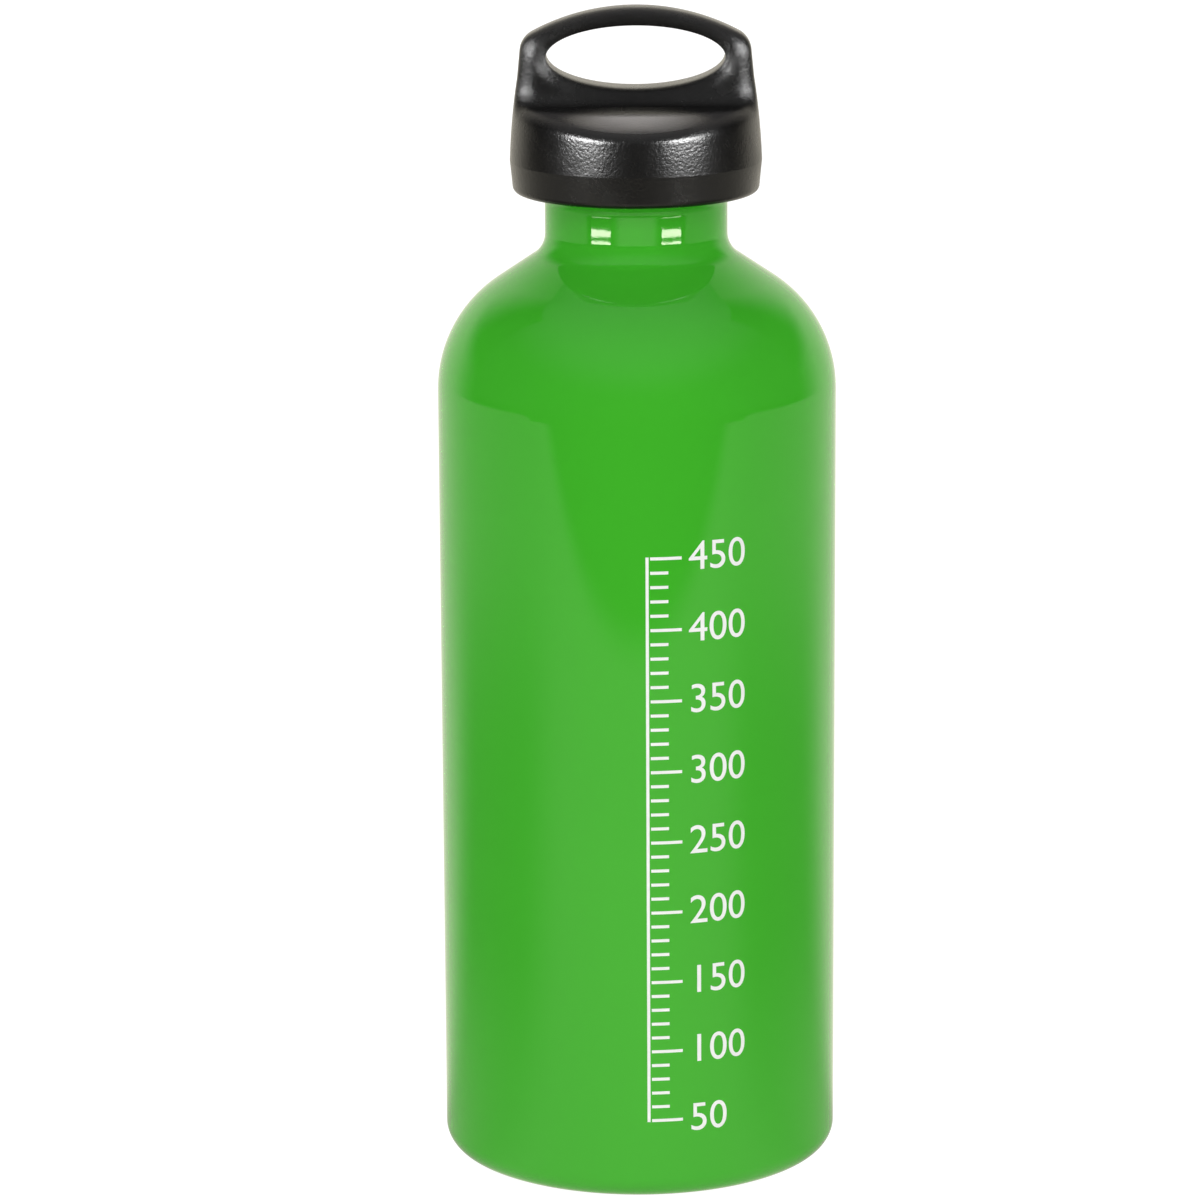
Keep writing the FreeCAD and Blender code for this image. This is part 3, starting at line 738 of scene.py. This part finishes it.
def outline(*corners, closed=False):
    """Points of an outline to turn, from its corners as (radius, height).

    A corner with a turn and a radius after it starts an arc to the next corner. A
    straight run has a point close to each end, which keeps its shading flat.
    """
    points = []
    ends = corners[1:] + corners[:1] if closed else corners[1:]
    for corner, end in zip(corners, ends):
        start, stop = Vector(corner[:2]), Vector(end[:2])
        chord = stop - start
        if len(corner) == 2:
            points.append(start)
            if chord.length > 4 * HOLD:
                inset = chord.normalized() * HOLD
                points += [start + inset, stop - inset]
            continue
        turn, radius = corner[2:]
        way = 1 if turn == "left" else -1
        rise = math.sqrt(max(radius**2 - chord.length_squared / 4, 0))
        centre = (start + stop) / 2 + Vector((-chord.y, chord.x)).normalized() * rise * way
        sweep = 2 * math.asin(min(1, chord.length / 2 / radius)) * way
        steps = max(3, math.ceil(abs(sweep) / ARC_STEP))
        spoke = start - centre
        points += [centre + Matrix.Rotation(sweep * i / steps, 2) @ spoke for i in range(steps)]
    points.append(Vector(ends[-1][:2]))
    return points


def outline_mesh(name, points, inside=None, thread=None):
    """Outline as a row of points, marked where they lie inside or carry a thread."""
    mesh = bpy.data.meshes.new(name)
    mesh.from_pydata([(p.x, 0, p.y) for p in points], [(i, i + 1) for i in range(len(points) - 1)], [])
    for label, rule in (("inside", inside), ("thread", thread)):
        marks = mesh.attributes.new(label, "FLOAT", "POINT")
        for mark, point in zip(marks.data, points):
            mark.value = rule(point) if rule else 0.0
    return mesh


def evaluated(thing):
    """What an object's modifiers make of it, as a plain mesh."""
    graph = bpy.context.evaluated_depsgraph_get()
    return bpy.data.meshes.new_from_object(thing.evaluated_get(graph), depsgraph=graph)


def from_shape(name, shape):
    """A bmesh as a mesh."""
    mesh = bpy.data.meshes.new(name)
    shape.to_mesh(mesh)
    shape.free()
    return mesh


def new_object(name, data):
    """New object in the scene."""
    thing = bpy.data.objects.new(name, data)
    scene.collection.objects.link(thing)
    return thing


def grow(name, mesh, tree, **inputs):
    """Run a tree on a mesh and return what it makes as a plain mesh."""
    source = new_object(name, mesh)
    modifier = source.modifiers.new("tree", "NODES")
    modifier.node_group = tree
    for item in tree.interface.items_tree:
        key = item.name.replace(" ", "_").lower()
        if item.in_out == "INPUT" and key in inputs:
            modifier[item.identifier] = inputs[key]
    made = evaluated(source)
    bpy.data.objects.remove(source)
    bpy.data.meshes.remove(mesh)
    return made


def lathe(name, points, steps, outside, inside, bare=None, thread=None):
    """Outline turned about Z, with rules for where it is bare inside and where it has a thread."""
    return grow(
        name,
        outline_mesh(f"{name}_outline", points, bare, thread),
        LATHE,
        turn_steps=steps,
        thread_depth=THREAD_DEPTH,
        thread_lead=THREAD_LEAD,
        outside=outside,
        inside=inside,
    )


def piece(name, mesh):
    """Mesh as a piece of the object, with crisp edges kept."""
    mesh.name = name
    mesh.set_sharp_from_angle(angle=SHARP_ANGLE)
    return new_object(name, mesh)


def stand_for(thing, node, body):
    """The piece takes the place of a solid and moves with its body."""
    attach(thing, body)
    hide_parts(node)


def merged_copy(node, material):
    """A solid's own mesh with its loose triangles joined and shaded smooth."""
    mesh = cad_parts[node].data.copy()
    mesh.materials.clear()
    mesh.materials.append(material)
    shape = bmesh.new()
    shape.from_mesh(mesh)
    bmesh.ops.remove_doubles(shape, verts=shape.verts, dist=1e-6)
    for face in shape.faces:
        face.smooth = True
        face.material_index = 0
    shape.to_mesh(mesh)
    shape.free()
    return mesh


LATHE = lathe_tree()
RING = ring_tree()
COIL = coil_tree()
WRAP = wrap_tree()
TICKS = ticks_tree(WRAP)
NUMERAL = numeral_tree(WRAP)


def make_bottle():
    """Drawn bottle, lacquered outside and bare inside and on its collar."""
    base_arch = (FOOT_INNER**2 + BASE_RISE**2) / (2 * BASE_RISE)
    inner_corner = BASE_CORNER - BASE_WALL
    shoulder_axis = BODY_RADIUS - SHOULDER_RADIUS
    throat_axis = NECK_RADIUS + THROAT_RADIUS
    arc_sum = SHOULDER_RADIUS + THROAT_RADIUS
    cone = Vector((math.sin(CONE_SLOPE), math.cos(CONE_SLOPE)))
    cone_rise = (shoulder_axis + arc_sum * cone.x - throat_axis) * math.tan(CONE_SLOPE)
    throat_height = BODY_HEIGHT + arc_sum * cone.y + cone_rise
    waist_top = throat_height + WAIST_LENGTH
    flare = COLLAR_RADIUS - COLLAR_ROUND - NECK_RADIUS
    shoulder_centre = Vector((shoulder_axis, BODY_HEIGHT))
    throat_centre = Vector((throat_axis, throat_height))
    inner_shoulder = SHOULDER_RADIUS - WALL
    inner_throat = THROAT_RADIUS + WALL
    outside = (
        (0, BASE_RISE, "right", base_arch),
        (FOOT_INNER, 0),
        (BODY_RADIUS - BASE_CORNER, 0, "left", BASE_CORNER),
        (BODY_RADIUS, BASE_CORNER),
        (BODY_RADIUS, BODY_HEIGHT, "left", SHOULDER_RADIUS),
        tuple(shoulder_centre + cone * SHOULDER_RADIUS),
        (*(throat_centre - cone * THROAT_RADIUS), "right", THROAT_RADIUS),
        (NECK_RADIUS, throat_height),
        (NECK_RADIUS, waist_top, "right", flare),
        (COLLAR_RADIUS - COLLAR_ROUND, COLLAR_FLOOR, "left", COLLAR_ROUND),
        (COLLAR_RADIUS, COLLAR_FLOOR + COLLAR_ROUND),
    )
    inside = (
        (COLLAR_RADIUS, RIM_HEIGHT - LIP_ROUND, "left", LIP_ROUND),
        (COLLAR_RADIUS - LIP_ROUND, RIM_HEIGHT),
        (LIP_BORE, RIM_HEIGHT),
        (LIP_BORE, LIP_FLOOR),
        (COLLAR_BORE, LIP_FLOOR),
        (COLLAR_BORE, COLLAR_FLOOR + WALL),
        (NECK_BORE, COLLAR_FLOOR + WALL),
        (NECK_BORE, throat_height, "left", inner_throat),
        tuple(throat_centre - cone * inner_throat),
        (*(shoulder_centre + cone * inner_shoulder), "right", inner_shoulder),
        (BODY_RADIUS - WALL, BODY_HEIGHT),
        (BODY_RADIUS - WALL, BASE_WALL + inner_corner, "right", inner_corner),
        (BODY_RADIUS - WALL - inner_corner, BASE_WALL),
        (FOOT_INNER, BASE_WALL, "left", base_arch),
        (0, BASE_RISE + BASE_WALL),
    )
    points = outline(*outside, *inside)
    bare = {(p.x, p.y) for p in outline(*inside)}
    turned = lathe(
        "bottle", points, BOTTLE_STEPS, LACQUER, ALUMINIUM, bare=lambda p: float((p.x, p.y) in bare)
    )
    stand_for(piece("bottle", turned), "bottle_shell", "bottle")


def make_seal():
    """Rubber ring with swollen sides."""
    half = (SEAL_TOP.z - SEAL_LOW.z) / 2
    curve = (SEAL_BULGE**2 + half**2) / (2 * SEAL_BULGE)
    outer = SEAL_TOP.x - SEAL_BULGE
    inner = SEAL_TOP.x - SEAL_WIDTH + SEAL_BULGE
    points = outline(
        (inner, SEAL_LOW.z),
        (outer, SEAL_LOW.z, "left", curve),
        (outer, SEAL_TOP.z),
        (inner, SEAL_TOP.z, "left", curve),
        closed=True,
    )
    turned = lathe("seal", points, SEAL_STEPS, RUBBER, RUBBER)
    stand_for(piece("seal", turned), "seal_ring", "seal")


def thread_rows(low, high, radius):
    """Close rows of points up a threaded run."""
    steps = math.ceil((high - low) / THREAD_ROWS)
    return [Vector((radius, low + (high - low) * i / steps)) for i in range(steps + 1)]


def thread_weight(low, high):
    """How deep the thread is cut at a height, fading out at both ends."""

    def weight(point):
        room = min(point.y - low, high - point.y) / THREAD_FADE
        return max(0.0, min(1.0, room))

    return weight


def on_rows(rows, weight):
    """The thread's weight on its own rows, and none elsewhere."""
    cut = {(p.x, p.y) for p in rows}
    return lambda p: weight(p) if (p.x, p.y) in cut else 0.0


def make_thread_ring():
    """Turned ring in the neck, with the inner thread."""
    outer, flange, lip = NECK_BORE - RING_FIT, COLLAR_BORE - RING_FIT, LIP_BORE - RING_FIT
    low, high = RING_LOW.z, RIM_HEIGHT
    root = PLUG_ROOT + THREAD_PLAY + THREAD_DEPTH
    weight = thread_weight(low + LEAD_IN, high - 2 * LEAD_IN)
    wall = outline(
        (root + LEAD_IN, low),
        (outer, low),
        (outer, COLLAR_FLOOR + WALL),
        (flange, COLLAR_FLOOR + WALL),
        (flange, LIP_FLOOR),
        (lip, LIP_FLOOR),
        (lip, high),
        (root + LEAD_IN, high),
    )
    bore = thread_rows(low + LEAD_IN, high - LEAD_IN, root)[::-1]
    for point in bore:
        point.x -= THREAD_DEPTH * weight(point)
    points = wall + bore + wall[:1]
    turned = lathe("ring", points, THREAD_STEPS, ALUMINIUM, ALUMINIUM, thread=on_rows(bore, weight))
    stand_for(piece("thread_ring", turned), "neck_thread_ring", "bottle")


def make_tooth():
    """One tooth of the plug's crown, sunk a little into the flange."""
    half, top = TOOTH_WIDTH / 2, TOOTH_WIDTH / 2 - TOOTH_DRAFT
    low, high = FLANGE_TOP - EDGE_ROUND, PLUG_TOP.z
    shape = bmesh.new()
    for along in (TOOTH_INNER, TOOTH_OUTER):
        for across, height in ((-half, low), (half, low), (top, high), (-top, high)):
            shape.verts.new((along, across, height))
    bmesh.ops.convex_hull(shape, input=shape.verts)
    bmesh.ops.dissolve_limit(shape, angle_limit=0.01, verts=shape.verts, edges=shape.edges)
    rims = [edge for edge in shape.edges if max(v.co.z for v in edge.verts) > low + EDGE_ROUND]
    bmesh.ops.bevel(shape, geom=rims, offset=EDGE_ROUND, segments=3, profile=0.5, affect="EDGES")
    bmesh.ops.recalc_face_normals(shape, faces=shape.faces)
    for face in shape.faces:
        face.smooth = True
    return from_shape("tooth", shape)


def cut_away(mesh, centre, size):
    """The mesh with a box cut out of it."""
    shape = bmesh.new()
    bmesh.ops.create_cube(shape, size=1.0, matrix=Matrix.Translation(centre) @ Matrix.Diagonal((*size, 1)))
    thing = new_object("cut", mesh)
    tool = new_object("tool", from_shape("block", shape))
    modifier = thing.modifiers.new("slot", "BOOLEAN")
    modifier.object = tool
    modifier.operation = "DIFFERENCE"
    modifier.solver = "EXACT"
    made = evaluated(thing)
    for part in (thing, tool):
        bpy.data.objects.remove(part)
    return made


def joined(name, *meshes):
    """Several meshes with the same finish as one."""
    shape = bmesh.new()
    for mesh in meshes:
        shape.from_mesh(mesh)
    for face in shape.faces:
        face.material_index = 0
    whole = from_shape(name, shape)
    whole.materials.append(next(finish for finish in meshes[0].materials if finish))
    return whole


def make_plug():
    """Moulded plug: threaded stem with a vent slot, flange with a crown, and a well."""
    low = PLUG_LOW.z
    weight = thread_weight(low + LEAD_IN, THREAD_TOP)
    foot = outline((0, low), (PLUG_ROOT - LEAD_IN, low), (PLUG_ROOT, low + LEAD_IN))
    stem = thread_rows(low + LEAD_IN, THREAD_TOP, PLUG_ROOT)[1:]
    groove_top, groove_low = RETAINER_TOP.z + GROOVE_PLAY, RETAINER_LOW.z - GROOVE_PLAY
    head = outline(
        (STEM_RADIUS, THREAD_TOP + LEAD_IN),
        (STEM_RADIUS, FLANGE_LOW),
        (FLANGE_RADIUS - EDGE_ROUND, FLANGE_LOW, "left", EDGE_ROUND),
        (FLANGE_RADIUS, FLANGE_LOW + EDGE_ROUND),
        (FLANGE_RADIUS, FLANGE_TOP - EDGE_ROUND, "left", EDGE_ROUND),
        (FLANGE_RADIUS - EDGE_ROUND, FLANGE_TOP),
        (WELL_RADIUS + EDGE_ROUND, FLANGE_TOP, "left", EDGE_ROUND),
        (WELL_RADIUS, FLANGE_TOP - EDGE_ROUND),
        (WELL_RADIUS, groove_top),
        (GROOVE_RADIUS, groove_top),
        (GROOVE_RADIUS, groove_low),
        (WELL_RADIUS, groove_low),
        (WELL_RADIUS, WELL_FLOOR + EDGE_ROUND, "right", EDGE_ROUND),
        (WELL_RADIUS - EDGE_ROUND, WELL_FLOOR),
        (0, WELL_FLOOR),
    )
    points = foot + stem + head
    turned = lathe("plug", points, THREAD_STEPS, PLUG_PLASTIC, PLUG_PLASTIC, thread=on_rows(stem, weight))
    centre = Vector((0, STEM_RADIUS, low + VENT_LENGTH / 2 - LEAD_IN))
    slotted = cut_away(turned, centre, (VENT_WIDTH, 2 * VENT_DEPTH, VENT_LENGTH + 2 * LEAD_IN))
    crown = grow("crown", make_tooth(), RING, count=TOOTH_COUNT, finish=PLUG_PLASTIC)
    stand_for(piece("plug", joined("plug", slotted, crown)), "inner_plug", "plug")


def make_retaining_ring():
    """Split ring in the plug's well."""
    ring = piece("retaining_ring_wire", merged_copy("retaining_ring", STEEL))
    stand_for(ring, "retaining_ring", "retainer")


def make_spring():
    """Open coil that holds the cap up."""
    made = grow(
        "press_spring",
        bpy.data.meshes.new("spring_seed"),
        COIL,
        turns=float(SPRING_TURNS),
        radius=SPRING_TOP.x - SPRING_WIRE / 2,
        wire=SPRING_WIRE,
        low=SPRING_LOW.z + SPRING_WIRE / 2,
        high=SPRING_TOP.z - SPRING_WIRE / 2,
        steps=SPRING_TURNS * COIL_STEPS,
        finish=STEEL,
    )
    coil = piece("spring_coil", made)
    stand_for(coil, "press_spring", "spring")
    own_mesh(coil)


def fill_height(millilitres):
    """Height of the liquid's surface in the standing bottle."""
    bore = BODY_RADIUS - WALL
    corner = BASE_CORNER - BASE_WALL
    dome = math.pi * BASE_RISE * (3 * FOOT_INNER**2 + BASE_RISE**2) / 6
    rounding = (1 - math.pi / 4) * corner**2 * TAU * bore
    return BASE_WALL + (millilitres * 1e-6 + dome + rounding) / (math.pi * bore**2)


def make_scale():
    """White scale of contents, printed on the lacquer."""
    first = fill_height(SCALE_FIRST)
    ink = {"film": INK_FILM, "radius": BODY_RADIUS, "finish": INK}
    ticks = grow(
        "ticks",
        bpy.data.meshes.new("ticks_seed"),
        TICKS,
        count=(SCALE_LAST - SCALE_FIRST) // SCALE_STEP + 1,
        first=first,
        spacing=fill_height(SCALE_FIRST + SCALE_STEP) - first,
        start=SCALE_START,
        short=SCALE_SHORT,
        long=SCALE_LONG,
        line=SCALE_LINE,
        **ink,
    )
    numbers = [
        grow(
            f"number_{level}",
            bpy.data.meshes.new("number_seed"),
            NUMERAL,
            number=str(level),
            size=NUMBER_SIZE,
            start=NUMBER_START,
            height=fill_height(level),
            **ink,
        )
        for level in range(SCALE_FIRST, SCALE_LAST + 1, SCALE_NUMBERS)
    ]
    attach(piece("printed_scale", joined("printed_scale", ticks, *numbers)), "bottle")


def make_cap():
    """Black moulded cap with its carrying loop, and a crisp crease round its skirt."""
    cap = piece("cap", merged_copy("outer_cap", CAP_PLASTIC))
    heights = [vertex.co.z for vertex in cap.data.vertices]
    for edge in cap.data.edges:
        if all(abs(heights[i] - CREASE_HEIGHT) < CREASE_WITHIN for i in edge.vertices):
            edge.use_edge_sharp = True
    stand_for(cap, "outer_cap", "cap")


make_bottle()
make_thread_ring()
make_seal()
make_plug()
make_retaining_ring()
make_spring()
make_cap()
make_scale()

# Camera, fitted to the photograph
CAMERA_PLACE = Vector((0.0, -0.975, 0.3322))
CAMERA_PITCH = math.radians(13.23)
CAMERA_YAW = math.radians(0.405)
CAMERA_ROLL = math.radians(-0.33)
LENS_PIXELS = 5489
IMAGE_PIXELS = 1200

# White sheet: how bright it is near the bottle, further out and far off, by reach and bearing
WHITE = 1.22
SHEET_TINT = (1, 0.945, 0.81, 1)
SHEET_CLOTH = (0.86, 0.86, 0.86, 1)
SHEET_FRONT = -0.46
SHEET_FADE = 0.04
SIDE_NEAR, SIDE_OUT, SIDE_FAR = 0.6, 0.25, 0.8
SIDE_DIM = (0.06, 0.2)
SIDE_RISE = (0.3, 0.6)
SIDE_END = (1.35, 1.1)
FRONT_BEARING = (math.radians(112), math.radians(140))
WEDGE_LOW, WEDGE_HIGH = math.radians(78), math.radians(58)
WEDGE_RISE = (0.3, 0.9)
WEDGE_SOFT = math.radians(32)

# Glow beyond the sheet's front, and two panes that the neck mirrors as windows
BEYOND_START = (0.85, 0.95)
BEYOND_END = (1.25, 1.12)
BEYOND_BEARING = (math.radians(150), math.radians(162))
BEYOND_GLOW = 1.3
PANE_LOWER = (1.0345, 0.0065)
PANE_UPPER = (1.0595, 0.0085)
PANE_BEARING = (math.radians(135), math.radians(13))
PANE_GLOW = 26.0

# How much of the sheet's look is its own glow, for the eye and for diffuse light
CAMERA_SHARE = 0.8
DIFFUSE_SHARE = 0.4

# Room
ROOM = 0.04
GLOW = 0.7
GLOW_ELEVATION = math.radians(73)
GLOW_EDGE = (0.45, 0.98)


def make_camera():
    """Camera where the photograph was taken from."""
    data = bpy.data.cameras.new("camera")
    data.sensor_width = 36
    data.lens = data.sensor_width * LENS_PIXELS / IMAGE_PIXELS
    data.clip_end = 20
    turn = Matrix.Rotation(CAMERA_YAW, 3, "Z")
    tilt = Matrix.Rotation(math.pi / 2 - CAMERA_PITCH, 3, "X")
    roll = Matrix.Rotation(CAMERA_ROLL, 3, "Z")
    scene.camera = new_object("camera", data)
    scene.camera.matrix_world = Matrix.Translation(CAMERA_PLACE) @ (turn @ tilt @ roll).to_4x4()


def sheet_light(tree):
    """Light of the white sheet: dimmer at the sides, and ending in front of the bottle."""
    spot = add(tree, "ShaderNodeTexCoord").outputs["Object"]
    axes = split(tree, spot)
    reach = add(tree, "ShaderNodeVectorMath", {0: spot}, operation="LENGTH").outputs["Value"]
    bearing = calc(tree, "ABSOLUTE", calc(tree, "ARCTAN2", axes["X"], axes["Y"]))
    sides = blend_values(tree, SIDE_NEAR, SIDE_OUT, step_up(tree, reach, *SIDE_DIM))
    sides = blend_values(tree, sides, SIDE_FAR, step_up(tree, reach, *SIDE_RISE))
    sides = product(tree, sides, step_up(tree, reach, *SIDE_END))
    front = step_up(tree, bearing, *FRONT_BEARING)
    wedge = blend_values(tree, WEDGE_LOW, WEDGE_HIGH, step_up(tree, axes["Z"], *WEDGE_RISE))
    behind = step_up(tree, bearing, wedge, calc(tree, "SUBTRACT", wedge, WEDGE_SOFT))
    lit = blend_values(tree, blend_values(tree, sides, 1.0, front), 1.0, behind)
    lit = product(tree, lit, step_up(tree, axes["Y"], SHEET_FRONT - SHEET_FADE, SHEET_FRONT + SHEET_FADE))
    beyond = product(
        tree,
        step_up(tree, reach, *BEYOND_START),
        step_up(tree, reach, *BEYOND_END),
        step_up(tree, bearing, *BEYOND_BEARING),
        BEYOND_GLOW,
    )
    rows = [calc(tree, "COMPARE", reach, *pane) for pane in (PANE_LOWER, PANE_UPPER)]
    panes = product(
        tree,
        calc(tree, "ADD", *rows),
        calc(tree, "COMPARE", bearing, *PANE_BEARING),
        PANE_GLOW,
    )
    return calc(tree, "ADD", calc(tree, "ADD", lit, beyond), panes)


def white_stage():
    """White sheet that glows, and takes the bottle's shadow."""
    material = bpy.data.materials.new("white_stage")
    material.use_nodes = True
    tree = material.node_tree
    tree.nodes.clear()
    path = add(tree, "ShaderNodeLightPath").outputs
    seen = path["Is Camera Ray"]
    inputs = {0: seen, 6: SHEET_TINT, 7: (1, 1, 1, 1)}
    tint = add(tree, "ShaderNodeMix", inputs, data_type="RGBA").outputs[2]
    strength = blend_values(tree, sheet_light(tree), WHITE, seen)
    matt = put(tree, "ShaderNodeBsdfDiffuse", {"Color": SHEET_CLOTH})
    glow = put(tree, "ShaderNodeEmission", {"Color": tint, "Strength": strength})
    share = calc(tree, "MAXIMUM", path["Is Glossy Ray"], path["Is Transmission Ray"])
    share = calc(tree, "MAXIMUM", share, product(tree, seen, CAMERA_SHARE))
    share = calc(tree, "MAXIMUM", share, product(tree, path["Is Diffuse Ray"], DIFFUSE_SHARE))
    surface = put(tree, "ShaderNodeMixShader", {0: share, 1: matt, 2: glow})
    result = add(tree, "ShaderNodeOutputMaterial", {"Surface": surface})
    result.is_active_output = True
    return material


def curved_screen(name, radius, low, high, middle, half, material):
    """Upright strip that curves round the bottle, at a bearing from behind it."""
    mesh = bpy.data.meshes.new(name)
    steps = 40
    corners = []
    for i in range(steps + 1):
        angle = middle + half * (2 * i / steps - 1)
        x, y = radius * math.sin(angle), radius * math.cos(angle)
        corners += [(x, y, low), (x, y, high)]
    faces = [(2 * i, 2 * i + 1, 2 * i + 3, 2 * i + 2) for i in range(steps)]
    mesh.from_pydata(corners, [], faces)
    mesh.materials.append(material)
    return new_object(name, mesh)


def make_stage():
    """Round floor, a backdrop behind the bottle, and a flag that keeps glints off its shoulder."""
    material = white_stage()
    shape = bmesh.new()
    bmesh.ops.create_circle(shape, cap_ends=True, radius=3.0, segments=96)
    floor = new_object("floor", from_shape("floor", shape))
    floor.data.materials.append(material)
    backdrop = curved_screen(
        "backdrop", radius=1.7, low=0, high=2.4, middle=0, half=math.radians(75), material=material
    )
    black = bpy.data.materials.new("black_flag")
    black.use_nodes = True
    cloth = black.node_tree.nodes["Principled BSDF"].inputs
    cloth["Base Color"].default_value = (0.0, 0.0, 0.0, 1)
    cloth["Specular IOR Level"].default_value = 0.0
    flag = curved_screen(
        "flag", radius=0.5, low=0.06, high=0.085, middle=math.pi, half=math.radians(62), material=black
    )
    flag.visible_camera = False
    flag.visible_diffuse = False
    flag.visible_shadow = False


def make_world():
    """Dark room with a soft glow overhead, white where the eye looks past the stage."""
    world = bpy.data.worlds.new("studio")
    scene.world = world
    world.use_nodes = True
    tree = world.node_tree
    tree.nodes.clear()
    path = add(tree, "ShaderNodeLightPath").outputs
    way = add(tree, "ShaderNodeTexCoord").outputs["Generated"]
    overhead = (0, -math.cos(GLOW_ELEVATION), math.sin(GLOW_ELEVATION))
    inputs = {0: way, 1: overhead}
    facing = add(tree, "ShaderNodeVectorMath", inputs, operation="DOT_PRODUCT").outputs["Value"]
    glow = blend_values(tree, GLOW, ROOM, path["Is Diffuse Ray"])
    light = blend_values(tree, ROOM, glow, step_up(tree, facing, *GLOW_EDGE))
    room = put(tree, "ShaderNodeBackground", {"Color": (1, 1, 1, 1), "Strength": light})
    white = put(tree, "ShaderNodeBackground", {"Color": (1, 1, 1, 1), "Strength": 1.0})
    surface = put(tree, "ShaderNodeMixShader", {0: path["Is Camera Ray"], 1: room, 2: white})
    add(tree, "ShaderNodeOutputWorld", {"Surface": surface})


def make_lamp(name, aim, azimuth, elevation, distance, size, power):
    """Soft box at a bearing from the camera's side, aimed at a point."""
    data = bpy.data.lights.new(name, "AREA")
    data.shape = "RECTANGLE"
    data.size, data.size_y = size
    data.energy = power
    around, up = math.radians(azimuth), math.radians(elevation)
    away = Vector((math.sin(around) * math.cos(up), -math.cos(around) * math.cos(up), math.sin(up)))
    lamp = new_object(name, data)
    lamp.location = aim + away * distance
    lamp.rotation_euler = (-away).to_track_quat("-Z", "Y").to_euler()
    return lamp


def make_fill(name, azimuth, elevation, size, power):
    """Broad lamp that lights everything but the cap, and isn't mirrored."""
    middle = (CAD_BOX[0] + CAD_BOX[1]) / 2
    lamp = make_lamp(name, middle, azimuth, elevation, distance=1.6, size=(size, size), power=power)
    lamp.visible_glossy = False
    spared = bpy.data.collections.new(f"{name}_spared")
    spared.objects.link(bpy.data.objects["cap"])
    spared.collection_objects[0].light_linking.link_state = "EXCLUDE"
    lamp.light_linking.receiver_collection = spared


def make_cap_lamp(name, azimuth, elevation, **settings):
    """Lamp that lights the cap alone."""
    lamp = make_lamp(name, Vector((0, 0, RIM_HEIGHT)), azimuth, elevation, **settings)
    lit = bpy.data.collections.new(f"{name}_lit")
    lit.objects.link(bpy.data.objects["cap"])
    lamp.light_linking.receiver_collection = lit
    return lamp


def make_lamps():
    """Broad fills, and lamps that only the black cap catches."""
    make_fill("fill_front", azimuth=0, elevation=28, size=0.9, power=7.6)
    make_fill("fill_above", azimuth=0, elevation=46, size=1.2, power=5.4)
    for side in (-1, 1):
        make_fill(f"fill_{side}", azimuth=58 * side, elevation=8, size=0.9, power=10.2)
        make_fill(f"fill_back_{side}", azimuth=138 * side, elevation=14, size=0.9, power=9.0)
        box = make_cap_lamp(
            f"cap_box_{side}", azimuth=46 * side, elevation=13, distance=1.2, size=(0.66, 0.24), power=48.0
        )
        box.visible_diffuse = False
    crown = make_cap_lamp(
        "cap_crown", azimuth=180, elevation=66, distance=1.0, size=(0.12, 0.12), power=34.0
    )
    crown.visible_glossy = False


scene.view_settings.view_transform = "Standard"
make_camera()
make_stage()
make_world()
make_lamps()
